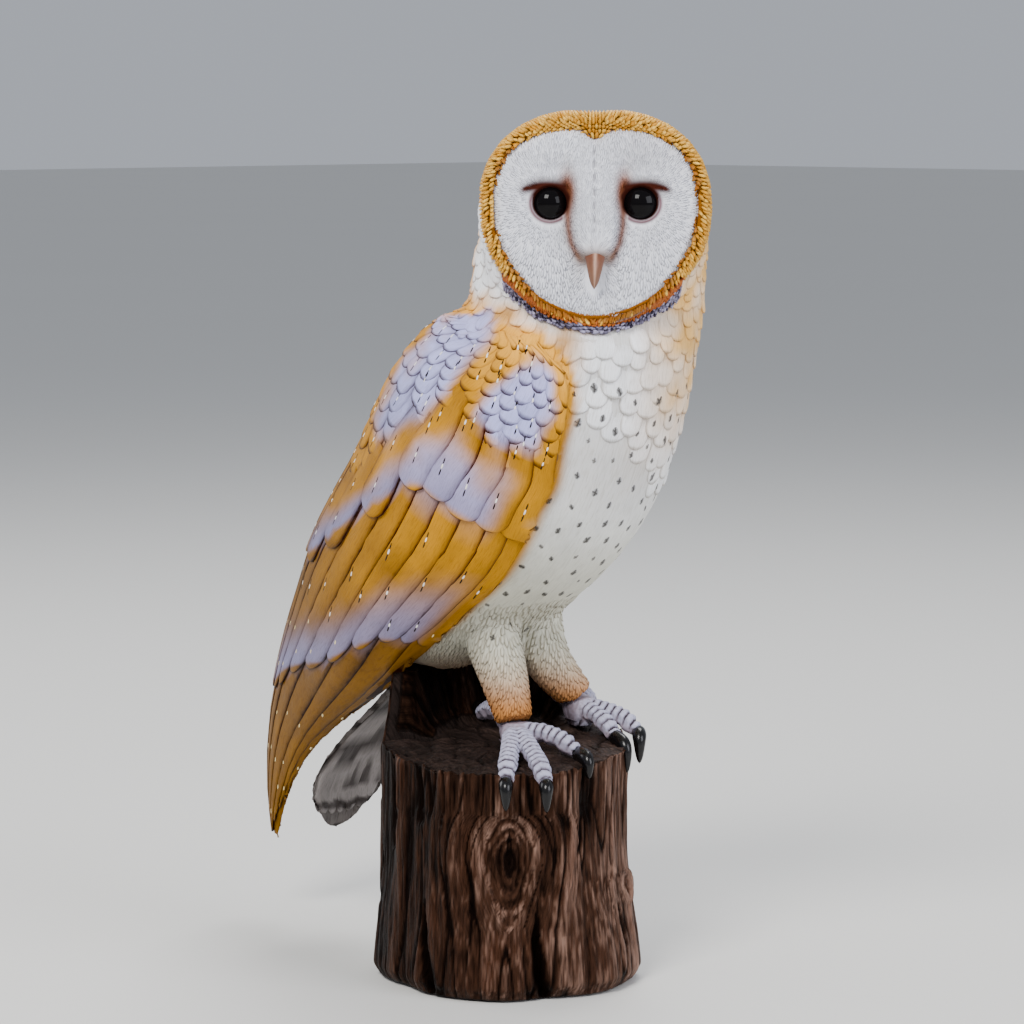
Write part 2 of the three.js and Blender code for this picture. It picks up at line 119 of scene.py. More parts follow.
for box_name, place, width, watts, tint in SOFT_BOXES:
    lamp = in_scene(box_name, bpy.data.lights.new(box_name, "AREA"))
    lamp.data.size = width
    lamp.data.energy = watts
    lamp.data.color = linear(tint)[:3]
    lamp.location = in_view(*place)
    lamp.rotation_euler = (LIT_POINT - lamp.location).to_track_quat("-Z", "Y").to_euler()

world = bpy.data.worlds.new("studio")
world.use_nodes = True
sky = world.node_tree.nodes["Background"]
sky.inputs["Color"].default_value = linear("#dde3ee")
sky.inputs["Strength"].default_value = SKY_STRENGTH
bpy.context.scene.world = world

floor_shape = bmesh.new()
bmesh.ops.create_grid(floor_shape, x_segments=1, y_segments=1, size=FLOOR_SIZE / 2)
floor_mesh = bpy.data.meshes.new("floor")
floor_shape.to_mesh(floor_mesh)
floor_shape.free()
# pale laminate: matt, with a faint mottle 25 mm across in its shine
laminate, tree, shader = new_finish("matt_pale_laminate", {"Base Color": linear("#d5d4d0")})
mottle = add_node(tree, "TexNoise", {"Scale": 40.0, "Detail": 3.0})
shades = add_node(tree, "MapRange", {"To Min": 0.5, "To Max": 0.6}, {"Value": mottle.outputs["Fac"]})
tree.links.new(shades.outputs["Result"], shader.inputs["Roughness"])
floor_mesh.materials.append(laminate)
in_scene("floor", floor_mesh)


# ---------------------------------------------------------------- body casting
# The owl's body under its feathers: one hollow resin casting from the crown to the
# feathered ankles, without a seam. The moulded feathers stand proud of it by a millimetre
# or two, and where none are moulded its surface is combed with fine grooves.

OWL_X = 10.0
# the body's envelope: rings square to the spine, a millimetre table for its middle (y, z),
# half its width, and its depth to the front and to the back
FIRST_STATION = -2
STATIONS = [
    (-45, 347, 49, 49, 46),
    (-41, 324, 49, 49, 46),
    (-37, 301, 49, 49, 46),
    (-33, 278, 51, 52, 46),
    (-20, 252, 54, 58, 54),
    (-5, 228, 56, 60, 60),
    (11, 204, 56, 55, 59),
    (28, 182, 54, 46, 58),
    (47, 160, 49, 39, 58),
    (67, 139, 41, 34, 56),
    (87, 120, 31, 27, 50),
    (106, 102, 22, 19, 43),
    (123, 85, 16, 13, 33),
    (136, 68, 11, 8, 23),
    (145, 51, 8, 4, 13),
    (150, 36, 6, 2, 4),
]
STEP = 0.05
# the wings' front and back edges: degrees round from the breast at each station
WING_EDGES = {
    "right": [
        (0.86, 64), (0.98, 52), (1.2, 46), (1.5, 43), (2, 42), (2.5, 39), (3, 40), (4, 37), (5, 38),
        (6, 41), (7, 44), (8, 50), (9, 57), (10, 62), (11, 66), (12, 70), (13, 78),
    ],
    "left": [
        (0.86, 76), (1.1, 65), (1.5, 60), (2, 58), (3, 57), (4, 57), (5, 59), (6, 62), (7, 68),
        (8, 80), (9, 104), (10, 128), (11, 144), (13, 158),
    ],
    "back": [(0.86, 108), (1.3, 136), (1.8, 156), (2.5, 166), (4, 173), (6, 176), (13, 174)],
}
SKIN_VOXEL = 1.6 * MM
CLOSING = 0.8 * MM  # closes the gaps between the solids before they are joined
COAT_DEPTH = 1.3 * MM
HEAD_AT = Vector((7.8, -43, 328))
HEAD_COS, HEAD_SIN = math.cos(math.radians(45)), math.sin(math.radians(45))
DISC_SIDE, DISC_TOP, DISC_BOTTOM = 42.0, 32.3, 44.9  # from the face's middle to its outline


def through(pairs, places):
    """Values at places of a smooth curve through (place, value) pairs."""
    knots, values = np.array(pairs, dtype=float).T
    last = len(knots) - 1
    before, after = np.maximum(np.arange(last + 1) - 1, 0), np.minimum(np.arange(last + 1) + 1, last)
    slopes = (values[after] - values[before]) / (knots[after] - knots[before])
    i = np.clip(np.searchsorted(knots, places, side="right") - 1, 0, last - 1)
    run = knots[i + 1] - knots[i]
    t = np.clip((places - knots[i]) / run, 0, 1)
    rise = (2 * t**3 - 3 * t**2 + 1) * values[i] + (3 * t**2 - 2 * t**3) * values[i + 1]
    return rise + (t**3 - 2 * t**2 + t) * slopes[i] * run + (t**3 - t**2) * slopes[i + 1] * run


def smooth(x, low, high):
    """0 below low, 1 above high and a soft step between; works on arrays."""
    t = np.clip((x - low) / (high - low), 0, 1)
    return t * t * (3 - 2 * t)


station_at = np.arange(FIRST_STATION, FIRST_STATION + len(STATIONS) - 1 + STEP / 2, STEP)
spine = {
    key: through([(FIRST_STATION + i, ring[k]) for i, ring in enumerate(STATIONS)], station_at)
    for k, key in enumerate(("y", "z", "side", "front", "back"))
}
spine["length"] = np.concatenate([[0], np.cumsum(np.hypot(np.diff(spine["y"]), np.diff(spine["z"])))])
for key in ("y", "z"):  # its direction at each station
    spine["d" + key] = np.gradient(spine[key]) / np.hypot(np.gradient(spine["y"]), np.gradient(spine["z"]))
edge_at = np.arange(0.8, 13.05, STEP)
wing_edges = {name: through(pairs, edge_at) for name, pairs in WING_EDGES.items()}


def at_station(key, s):
    return np.interp(s, station_at, spine[key])


def edge_of(name, s):
    return np.interp(s, edge_at, wing_edges[name])


def body_point(s, phi, out=0.0):
    """Millimetre points on the envelope: station, degrees round from the breast by the
    owl's right side, and distance outside it. All may be arrays."""
    along_y, along_z = at_station("dy", s), at_station("dz", s)
    forward = np.cos(np.radians(phi))
    depth = np.where(forward > 0, at_station("front", s), at_station("back", s)) + out
    x = OWL_X - (at_station("side", s) + out) * np.sin(np.radians(phi))
    y = at_station("y", s) + depth * forward * along_z
    z = at_station("z", s) - depth * forward * along_y
    return np.stack(np.broadcast_arrays(x, y, z), axis=-1)


def body_place(points):
    """The station and the degrees round of millimetre points, signed: the owl's right
    side is positive."""
    stations = np.empty(len(points))
    middle = np.stack([spine["y"], spine["z"]], axis=1)[::2]
    batch = 40000
    for start in range(0, len(points), batch):
        part = points[start : start + batch, 1:]
        gap = ((part[:, None, :] - middle[None, :, :]) ** 2).sum(axis=2)
        stations[start : start + batch] = station_at[::2][gap.argmin(axis=1)]
    along_y, along_z = at_station("dy", stations), at_station("dz", stations)
    off_y = points[:, 1] - at_station("y", stations)
    off_z = points[:, 2] - at_station("z", stations)
    run = np.interp(stations, station_at, np.gradient(spine["length"]) / STEP)
    stations = stations + (off_y * along_y + off_z * along_z) / run
    forward = off_y * along_z - off_z * along_y
    forward = forward / np.where(forward > 0, at_station("front", stations), at_station("back", stations))
    aside = (OWL_X - points[:, 0]) / at_station("side", stations)
    return stations, np.degrees(np.arctan2(aside, forward))


def wing_place(stations, phi):
    """How far back across the folded wing a place lies: 0 at its front edge, 1 at its back."""
    front = np.where(phi > 0, edge_of("right", stations), edge_of("left", stations))
    return (np.abs(phi) - front) / (edge_of("back", stations) - front)


def head_place(points):
    """Millimetre points in the head's own turned frame: side, up and forward."""
    dx, dy, dz = (points[:, i] - HEAD_AT[i] for i in range(3))
    return HEAD_COS * dx - HEAD_SIN * dy, dz, -(HEAD_SIN * dx + HEAD_COS * dy)


def in_head(side, up, forward):
    x = HEAD_AT.x + side * HEAD_COS - forward * HEAD_SIN
    y = HEAD_AT.y - side * HEAD_SIN - forward * HEAD_COS
    return np.stack(np.broadcast_arrays(x, y, HEAD_AT.z + up), axis=-1)


def head_way(side, up, forward):
    """A direction in the head's frame."""
    return in_head(side, up, forward) - in_head(0, 0, 0)


def disc_edge(side, up):
    """Distance from the face's middle to its outline, towards a place on the face."""
    reach = np.hypot(side, up) + 1e-6
    c, s = side / reach, up / reach
    below = (np.abs(c / DISC_SIDE) ** 1.92 + np.abs(s / DISC_BOTTOM) ** 1.92) ** (-1 / 1.92)
    above = (np.abs(c / DISC_SIDE) ** 2.9 + np.abs(s / DISC_TOP) ** 2.9) ** (-1 / 2.9)
    return np.where(s < 0, below, above - 4.2 * np.exp(-((c / 0.17) ** 2)))


def ruff_width(side, up):
    """How far the ruff's cord reaches outside the disc, from the crown round to the chin."""
    low = smooth(-up, 8, 38)
    cord = (3.1 + 0.6 * np.sign(side)) * (1 - low) + 0.7 * low + 3.0 * smooth(up, 10, 30)
    return cord + 5.0 * np.exp(-((side / 6) ** 2)) * (up > 0)


def hue(code):
    """A coat of paint, as linear red, green and blue."""
    return np.array(linear(code)[:3])


def spray(colour, paint, amount):
    """Colours with paint over them, by a share for each row."""
    return colour + (paint - colour) * np.clip(amount, 0, 1)[:, None]


def drift(points, scale):
    """A soft random value at each point, with lumps about 1 / scale millimetres across."""
    return np.array([noise.noise(Vector(p) * scale) for p in points])


WHITE = hue("#f4f6fa")
CREAM = hue("#edbc70")
BELLY = hue("#c6c4b0")
OCHRE = hue("#b8701c")
GOLD = hue("#c58914")
PALE_GOLD = hue("#fab548")
AMBER_AND_SHADE = hue("#704a00")
LAVENDER = hue("#b0b8f2")
RUFF_BROWN = hue("#9a5f18")


def greater_end(v):
    """Station where the greater coverts end, across the wing."""
    return 3.42 + 2.9 * smooth(v, 0.33, 0.66) + 2.4 * np.clip(v - 0.5, 0, 1)


def secondary_end(v):
    """Station where the secondaries end, across the wing."""
    return 5.95 + 3.7 * smooth(v, 0.1, 0.62) + 1.2 * np.clip(v - 0.5, 0, 1)


def coat_colour(points):
    """The sprayed coats of paint at millimetre points on the body or its feathers."""
    s, phi = body_place(points)
    side, up, forward = head_place(points)
    v = wing_place(s, phi)
    round_body = np.abs(phi)
    wander = drift(points, 0.09)
    # white primer, cream on the left of the neck, stone on the belly, ochre at the ankles
    colour = np.tile(WHITE, (len(points), 1))
    left_side = smooth(-phi, -26, 16) * (1 - smooth(s, 0.7, 2.6))
    colour = spray(colour, CREAM, left_side * (0.85 + 0.5 * wander))
    colour = spray(colour, BELLY, 0.9 * smooth(s, 1.6, 4.6))
    ankle = (1 - smooth(points[:, 2], 114, 144)) ** 1.3 * (s > 2) * (round_body < 70)
    colour = spray(colour, OCHRE, 0.9 * ankle)
    # gold on the wings, the shoulders, the mantle and the back of the head
    wing = smooth(v, -0.05, 0.0) * smooth(s, 0.62, 0.86)
    to_front = smooth(110 - round_body, 0, 60)
    shoulder = smooth(s + 0.25 * wander, 0.28 + 0.35 * to_front, 0.72 + 0.3 * to_front)
    shoulder = shoulder * smooth(round_body, 38, 56) * (s < 1.6)
    mantle = smooth(round_body + 12 * wander, 118, 140) * smooth(s, -3, -2)
    nape = smooth(-forward, -37, -30) * smooth(up + 8 * wander, -4, 10)
    below_nape = smooth(-forward, -8, 10) * smooth(up, -24, -4)
    gold = np.maximum.reduce([wing, shoulder * 0.9, mantle, nape, below_nape])
    # the gold fades from pale at the shoulder to amber low on the wing: partly the paint's own fade, partly
    # painted shade on the lower wing
    gold_and_shade = PALE_GOLD + (GOLD - PALE_GOLD) * smooth(s + 0.6 * wander, 0.2, 2.2)[:, None]
    gold_and_shade = spray(gold_and_shade, AMBER_AND_SHADE, smooth(s, 1.8, 8.2) + 0.35 * wander)
    colour = spray(colour, gold_and_shade, gold)
    # rust under the ruff, where its feathers part
    from_face = np.hypot(side, up) - disc_edge(side, up)
    reach = 3.0 + 6.0 * smooth(up, 12, 26)
    near_face = 1 - smooth(np.abs(from_face - 1.0), reach, reach + 1.6)
    colour = spray(colour, RUFF_BROWN, smooth(forward, 30, 34) * near_face)

    def patch(at_s, at_v, reach_s, reach_v):
        gap = ((s - at_s) / reach_s) ** 2 + ((v - at_v) / reach_v) ** 2
        return 1 - smooth(gap + 0.5 * wander, 0.45, 1.25)

    def band(above_tips, full, gone):
        return smooth(above_tips, -0.05, 0.12) * (1 - smooth(above_tips + 0.3 * wander, full, gone))

    # a lavender haze in patches and along the feathers' ends
    fade_behind = 1 - 0.6 * smooth(round_body + 25 * wander, 112, 150)
    haze = np.maximum.reduce([
        patch(1.65, 0.19, 0.58, 0.13),
        patch(2.15, 0.6, 1.35, 0.17) * fade_behind,
        patch(1.2, 0.78, 0.6, 0.16) * fade_behind,
        0.9 * band(greater_end(v) - s, 0.3, 1.25) * smooth(v, 0.08, 0.16) * (1 - smooth(v, 0.6, 0.75)),
        0.76 * band(secondary_end(v) - s, 0.4, 1.9) * smooth(v, 0.03, 0.1) * (1 - smooth(v, 0.55, 0.7)),
        0.9 * patch(3.6, 0.92, 1.2, 0.14),
        0.5 * (1 - smooth(np.abs(s - 0.2 - wander), 0.4, 1.3)) * smooth(round_body, 120, 160),
        0.5 * smooth(-forward + 10 * wander, 4, 26) * smooth(up + 18 * wander, 4, 24),
    ])
    haze_paint = LAVENDER * (1 - 0.5 * smooth(s, 1.7, 4.2))[:, None]
    return spray(colour, haze_paint, 0.92 * haze * gold)


def finished(mesh, colour, wash, lie):
    """Stores at each corner of a mesh its sprayed colour, how much dark wash is left there,
    and its place along and across the lie of the coat, in millimetres."""
    rows = np.hstack([colour, np.ones((len(colour), 1))])
    for name, kind, key, values in (
        ("paint", "FLOAT_COLOR", "color", rows),
        ("wash", "FLOAT", "value", wash),
        ("lie", "FLOAT_VECTOR", "vector", lie * MM),
    ):
        mesh.attributes.new(name, kind, "POINT").data.foreach_set(key, values.ravel())


def sprayed_resin(name, groove_mm, groove_depth, roughness, wash_colour, grain=1.0, coat=0.0):
    """Primed resin under sprayed acrylic: the paint attribute for its colour, a brown wash
    where the wash attribute says, fine combed grooves along the lie attribute, and the
    speckle and soft sheen of a hand-finished ornament."""
    settings = {"Specular IOR Level": 0.25, "Coat Weight": coat, "Coat Roughness": 0.35}
    material, tree, shader = new_finish(name, settings)
    kept = ("paint", "wash", "lie")
    paint, wash, lie = (add_node(tree, "Attribute", {"attribute_name": key}) for key in kept)
    across = 1 / (groove_mm * MM)
    along_lie = {"vector_type": "POINT", "Scale": (across, across / 9, across / 3)}
    scaled = add_node(tree, "Mapping", along_lie, {"Vector": lie.outputs["Vector"]})
    place = {"Vector": add_node(tree, "TexCoord").outputs["Object"]}
    combing = {"Scale": 1.0, "Detail": 3.0, "Roughness": 0.6, "Distortion": 0.25}
    combed = add_node(tree, "TexNoise", combing, {"Vector": scaled.outputs["Vector"]}).outputs["Fac"]
    # sprayed grit, drawn a millimetre across because its real size, a tenth of that, would
    # not show, and clouds 14 mm across where the spray lies thicker
    speckle = add_node(tree, "TexNoise", {"Scale": 900.0, "Detail": 2.0}, place).outputs["Fac"]
    clouds = {"Scale": 70.0, "Detail": 4.0, "Roughness": 0.6}
    cloud = add_node(tree, "TexNoise", clouds, place).outputs["Fac"]
    # the wash stays in the grooves and is wiped off the ridges between them
    ranged = []
    for source, *values in (
        (combed, 0.52, 0.3, 0.0, 0.3 * grain),
        (cloud, 0.3, 0.7, 0.75, 1.2),
        (cloud, 0.3, 0.7, 0.9, 1.08),
        (cloud, 0.0, 1.0, roughness - 0.08, roughness + 0.1),
    ):
        limits = dict(zip(("From Min", "From Max", "To Min", "To Max"), values))
        ranged.append(add_node(tree, "MapRange", limits, {"Value": source}).outputs["Result"])
    in_groove, uneven, tone, dullness = ranged
    links = {0: wash.outputs["Fac"], 1: uneven, 2: in_groove}
    left = add_node(tree, "Math", {"operation": "MULTIPLY_ADD", "use_clamp": True}, links)
    links = {"Vector": paint.outputs["Color"], "Scale": tone}
    toned = add_node(tree, "VectorMath", {"operation": "SCALE"}, links)
    settings = {"data_type": "RGBA", "blend_type": "MULTIPLY", 7: linear(wash_colour)}
    stained = add_node(tree, "Mix", settings, {0: left.outputs["Value"], 6: toned.outputs["Vector"]})
    relief = {"Strength": 1.0, "Distance": groove_depth * MM}
    grooves = add_node(tree, "Bump", relief, {"Height": combed})
    relief = {"Strength": 0.5, "Distance": 0.05 * MM}
    sanded = add_node(tree, "Bump", relief, {"Height": speckle, "Normal": grooves.outputs["Normal"]})
    for socket, source in (
        ("Base Color", stained.outputs[2]),
        ("Specular Tint", stained.outputs[2]),
        ("Normal", sanded.outputs["Normal"]),
        ("Roughness", dullness),
    ):
        tree.links.new(source, shader.inputs[socket])
    return material


def keep(name, mesh, material, slot, *nodes):
    """A finished piece: it rides with the statue and stands for the named solids."""
    piece = in_scene(name, mesh)
    mesh.materials.clear()
    mesh.materials.append(material)
    mesh.shade_smooth()
    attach(piece, "root")
    if nodes:
        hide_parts(*nodes)


def made_with(mesh, *modifiers):
    """The mesh as a list of (kind, settings) modifiers leaves it."""
    holder = in_scene("holder", mesh)
    for kind, settings in modifiers:
        modifier = holder.modifiers.new(kind, kind)
        for key, value in settings.items():
            setattr(modifier, key, value)
    bpy.context.view_layer.update()
    result = bpy.data.meshes.new_from_object(holder.evaluated_get(bpy.context.evaluated_depsgraph_get()))
    bpy.data.objects.remove(holder)
    return result


def spots_of(corners):
    return np.array([corner.co for corner in corners]) / MM


FLESH = ("trunk", "neck", "head", "wing_right", "wing_left", "leg_right", "leg_left")
gathered = bmesh.new()
for node_name in FLESH:
    gathered.from_mesh(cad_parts[node_name].data)
# resin fills the groove where the folded wings meet over the back
for s in np.arange(1.7, 10.6, 0.2):
    made = bmesh.ops.create_icosphere(gathered, subdivisions=2, radius=5.6 * MM)
    bmesh.ops.translate(gathered, verts=made["verts"], vec=body_point(s, 180.0, 1.2) * MM)
bmesh.ops.remove_doubles(gathered, verts=gathered.verts, dist=1e-6)
joined = bpy.data.meshes.new("joined")
gathered.to_mesh(joined)
gathered.free()
skin_mesh = made_with(
    joined,
    ("DISPLACE", {"strength": CLOSING, "mid_level": 0.0}),
    ("REMESH", {"mode": "VOXEL", "voxel_size": SKIN_VOXEL}),
    ("SMOOTH", {"iterations": 8, "factor": 0.5}),
)
skin_mesh.name = "body_casting"

# sunk under the feathers, less where the wings are thin and where nothing covers it
skin_shape = bmesh.new()
skin_shape.from_mesh(skin_mesh)
skin_shape.normal_update()
points = spots_of(skin_shape.verts)
stations, around = body_place(points)
side, up, forward = head_place(points)
thin = smooth(stations, 6.5, 9.5) * (wing_place(stations, around) > -0.1)
bare = smooth(stations, 2.0, 3.4) * (wing_place(stations, around) < 0)
on_face = smooth(forward, 26, 32) * (1 - smooth(np.hypot(side, up) / disc_edge(side, up), 0.88, 0.97))
sink = CLOSING + COAT_DEPTH * (1 - 0.75 * thin) * (1 - 0.8 * bare)
# behind the face it lies well back, flat under the muzzle
back = np.maximum(2.5, forward - 34) * MM * on_face
to_nape = Vector(head_way(0, 0, -1))
for vertex, depth, shift in zip(skin_shape.verts, sink, back):
    vertex.co += to_nape * float(shift) - vertex.normal * float(depth)
skin_shape.to_mesh(skin_mesh)
skin_shape.normal_update()
skin_ground = BVHTree.FromBMesh(skin_shape)
skin_normals = np.array([v.normal for v in skin_shape.verts])
skin_shape.free()

# dark where the feathers of the coat will leave only cracks, nearly clean where it is bare
covered = 1 - bare * (np.abs(around) < 100)
points = spots_of(skin_mesh.vertices)
stations, around = body_place(points)
side, up, forward = head_place(points)
girth = np.radians(around) * at_station("side", stations)
lie = np.stack([girth, at_station("length", stations), 0 * girth], axis=1)
finished(skin_mesh, coat_colour(points), 0.04 + 0.35 * covered * (1 - 0.7 * thin), lie)
# matt white primer, combed along the body: chalky, with grey wash in its grooves
combed_white = sprayed_resin("combed_white_primer_on_resin", 0.8, 0.4, 0.6, "#94876f", grain=0.7)
keep("body_casting", skin_mesh, combed_white, "breast_paint", *FLESH)


# ---------------------------------------------------------------- moulded feathers
# Each feather is a thin plate of resin that rises from the body at its root and ends in a
# rounded tip over the next ones. Brown wash is left in the step round its edge.

PATCH = 0.003  # side of a small feather's patch on the bake map
FEW = 260  # with no more feathers than this, each has a cell of its own on the map


def vane_shape(columns, rows, tip, root):
    """One flat closed plate, 2 across and 1 long, with a narrow root and a rounded tip.
    Returns its corners (across, along, top, rim, across before rounding) and its faces."""
    shape = bmesh.new()
    bmesh.ops.create_grid(shape, x_segments=columns, y_segments=rows, size=1)
    made = bmesh.ops.extrude_face_region(shape, geom=shape.faces[:])
    top = {item for item in made["geom"] if isinstance(item, bmesh.types.BMVert)}
    corners = []
    for vertex in shape.verts:
        u, t = vertex.co.x, vertex.co.y
        rim = float(abs(u) > 0.99 or t > 0.99)
        u = math.copysign(abs(u) ** 0.65, u)
        if t > 0:
            t = t**0.65
            across = u * math.sqrt(1 - t * t / 2)
            along = 1 - tip + tip * t * math.sqrt(1 - u * u / 2)
        else:
            across = u * (root + (1 - root) * math.sin((1 + t) * math.pi / 2))
            along = (1 + t) * (1 - tip)
        corners.append((across, along, float(vertex in top), rim, u))
    shape.verts.index_update()
    faces = [[v.index for v in face.verts] for face in shape.faces]
    shape.free()
    return np.array(corners), np.array(faces)


SCALE_VANE = vane_shape(6, 5, 0.42, 0.6)
LONG_VANE = vane_shape(8, 18, 0.16, 0.7)
TUFT_VANE = vane_shape(2, 4, 0.5, 0.5)


def bake_patches(mesh, count, across, along, roots):
    """The map for baking: a cell for each of a few large feathers, or for small ones a
    patch at the root's place on the body's own unwrap, round it and along it."""
    if count <= FEW:
        cells = math.ceil(math.sqrt(count))
        row, column = np.divmod(np.arange(count), cells)
        u = (column[:, None] + 0.5 + 0.42 * across) / cells
        v = (row[:, None] + 0.08 + 0.84 * along) / cells
    else:
        stations, around = body_place(roots)
        u = 0.02 + 0.96 * (around + 180) / 360
        v = 0.02 + 0.96 * (stations - FIRST_STATION) / len(STATIONS)
        u = u[:, None] + PATCH / 2 * across
        v = v[:, None] + PATCH * (along - 0.5)
    index = np.empty(len(mesh.loops), dtype=int)
    mesh.loops.foreach_get("vertex_index", index)
    each = np.stack([u, v], axis=2).reshape(-1, 2)[index]
    mesh.uv_layers.new(name="OFBake").data.foreach_set("uv", np.clip(each, 0, 1).ravel())


def moulded(
    name, vane, places, widths, lengths, ground, material, slot, heights, thick, crown=0.5, tilt=0.0,
    scale=1.0, wash=0.9, middle=0.08, shaded=0.0, root_wash=0.35, root_end=0.55, colour=coat_colour,
):
    """Joins one plate per feather into a piece. places is feathers by corners by xyz, in
    millimetres near the ground, which the plates are pressed on to, with heights for the
    root and the tip. The wash is what is left at the edges, in the middle and at the root."""
    corners, faces = vane
    count, size = places.shape[:2]
    across, along, top, rim, spread = corners.T
    height = heights[0] + (heights[1] - heights[0]) * along - crown * spread**2 * (0.3 + 0.7 * along)
    height = height + tilt * spread - (1 - top) * thick - 0.3 * thick * rim * top
    tall = np.tile(height, count) * np.repeat(scale * np.ones(count), size) * MM
    lifted = np.empty((count * size, 3))
    for i, (place, rise) in enumerate(zip(places.reshape(-1, 3) * MM, tall)):
        spot, normal, _, _ = ground.find_nearest(place)
        lifted[i] = spot + normal * rise
    mesh = bpy.data.meshes.new(name)
    offsets = np.repeat(np.arange(count) * size, len(faces))[:, None]
    mesh.from_pydata(lifted.tolist(), [], (np.tile(faces, (count, 1)) + offsets).tolist())
    edge = np.maximum(np.maximum(rim, 1 - top), shaded * smooth(np.abs(spread), 0.5, 1.0))
    left = middle + (wash - middle) * edge + root_wash * (1 - smooth(along, 0.1, root_end))
    paint = colour(lifted / MM)
    shades = 1 + 0.06 * np.array([random.uniform(-1, 1) for _ in range(count)])
    girth = spread * widths[:, None] / 2 + 40 * np.arange(count)[:, None]
    lie = np.stack([girth, along * lengths[:, None], 0 * girth], axis=2).reshape(-1, 3)
    finished(mesh, paint * np.repeat(shades, size)[:, None], np.tile(np.clip(left, 0, 1), count), lie)
    bake_patches(mesh, count, across, along, lifted.reshape(count, size, 3)[:, 0] / MM)
    keep(name, mesh, material, slot)
    return mesh


def along_surface(ways, normals):
    """Directions turned to lie along the surface, one long."""
    ways = ways - (ways * normals).sum(axis=1)[:, None] * normals
    return ways / np.maximum(np.linalg.norm(ways, axis=1), 1e-6)[:, None]


def lie_direction(points, normals):
    """The way the coat lies: down the body, and back over the head from the face."""
    stations, _ = body_place(points)
    over = smooth(head_place(points)[1], -30, 20)[:, None]
    down_body = np.stack([0 * stations, at_station("dy", stations), at_station("dz", stations)], axis=1)
    on_head = head_way(0, 0, -1) * (0.25 + over) + np.array([0, 0, -1.0])
    return along_surface(np.where(stations[:, None] < 0.2, on_head, down_body), normals)


def scattered(points, ways, widths, lengths, order, close):
    """Picks points so that feathers of those sizes overlap like scales, in a random but
    even order; close is their spacing across and along, as shares of the sizes."""
    cell = 12.0
    around_it = [(dx, dy, dz) for dx in (-1, 0, 1) for dy in (-1, 0, 1) for dz in (-1, 0, 1)]
    kept, bins = [], {}
    for i in order:
        x, y, z = (points[i] // cell).astype(int)
        near = [j for dx, dy, dz in around_it for j in bins.get((x + dx, y + dy, z + dz), ())]
        gaps = points[i] - points[near]
        along = gaps @ ways[i]
        across = np.sqrt(np.maximum((gaps * gaps).sum(axis=1) - along * along, 0))
        reach = (across / (close[0] * widths[i])) ** 2 + (along / (close[1] * lengths[i])) ** 2
        if reach.min(initial=2) >= 1:
            kept.append(i)
            bins.setdefault((x, y, z), []).append(i)
    return np.array(kept)


def laid_flat(vane, points, normals, ways, widths, lengths):
    """Corner places of feathers laid flat at their roots."""
    across, along = vane[0][:, 0], vane[0][:, 1]
    sideways = np.cross(ways, normals)[:, None, :] * (widths / 2)[:, None, None]
    onwards = ways[:, None, :] * lengths[:, None, None]
    return points[:, None, :] + across[None, :, None] * sideways + along[None, :, None] * onwards


# ---------------------------------------------------------------- breast, neck and mantle
# Broad, soft-edged scallops over the neck and upper breast, smaller ones over the nape and
# the back of the head, all moulded with the body and lightly washed.

# the violet band under the chin, as places (side, up) along its lower edge
BAND = [(-37, -29.5), (-24, -42.0), (-9, -47.4), (1, -48.6), (14, -46.8), (31, -37.2), (36, -31)]

random.seed(11)
order = list(range(len(points)))
random.shuffle(order)
v_place = wing_place(stations, around)
over_wing = (v_place > 0.03) & (v_place < 0.97) & (stations > 0.98)
outside = np.hypot(side, up) - disc_edge(side, up)
face_side = (forward > 31) & (outside < ruff_width(side, up) + 0.6)
scallop_limit = 66 - 74 * smooth(stations, 0.7, 1.9)
breast = (around < scallop_limit) & (stations < 2.15)
rear = np.abs(around) > 100
band_at = np.arange(-38, 38, 0.5)
band_line = through(BAND, band_at)
steep = np.sqrt(1 + np.interp(side, band_at, np.gradient(band_line) / 0.5) ** 2)
from_band = (up - np.interp(side, band_at, band_line)) / steep  # millimetres above it
under = (side > -37) & (side < 35) & (forward > 14) & (up < -26)
wanted = ~over_wing & ~face_side & ~(under & (from_band > -0.4)) & (breast | (stations < 1.0) | rear)
wanted = wanted & (stations < 9.5)
size_mm = 6.0 + 3.6 * smooth(stations, 0.3, 1.3) * (np.abs(around) < 60)
size_mm = size_mm + 2.0 * smooth(stations, 0.8, 3) * rear - 1.2 * (stations < -0.6)
ways = lie_direction(points, skin_normals)
kept = scattered(points, ways, size_mm, 1.3 * size_mm, [i for i in order if wanted[i]], (0.8, 0.55))
widths = size_mm[kept] * 1.25 * np.array([random.uniform(0.9, 1.25) for _ in kept])
lengths = size_mm[kept] * 1.7
relief = 0.35 + 0.65 * np.where(breast[kept], smooth(scallop_limit[kept] - around[kept], 0, 30), 1)
# matt acrylic over primer: chalky white and cream, with soft brown wash round each scallop
soft_white = sprayed_resin("matt_cream_acrylic_on_resin", 0.7, 0.25, 0.62, "#857257")
breast_mesh = moulded(
    "neck_and_breast_feathers", SCALE_VANE,
    laid_flat(SCALE_VANE, points[kept], skin_normals[kept], ways[kept], widths, lengths), widths, lengths,
    skin_ground, soft_white, "breast_paint", heights=(-0.2, 1.45), thick=0.9, wash=0.5, root_wash=0.2,
    middle=0.03, scale=np.array([random.uniform(0.45, 1.1) for _ in kept]) * relief,
)

# ---------------------------------------------------------------- wings
# Each folded wing is moulded in tracts: rows of scale-like coverts that grow down from the
# shoulder, long greater coverts, the row of secondaries and the narrow primaries below.

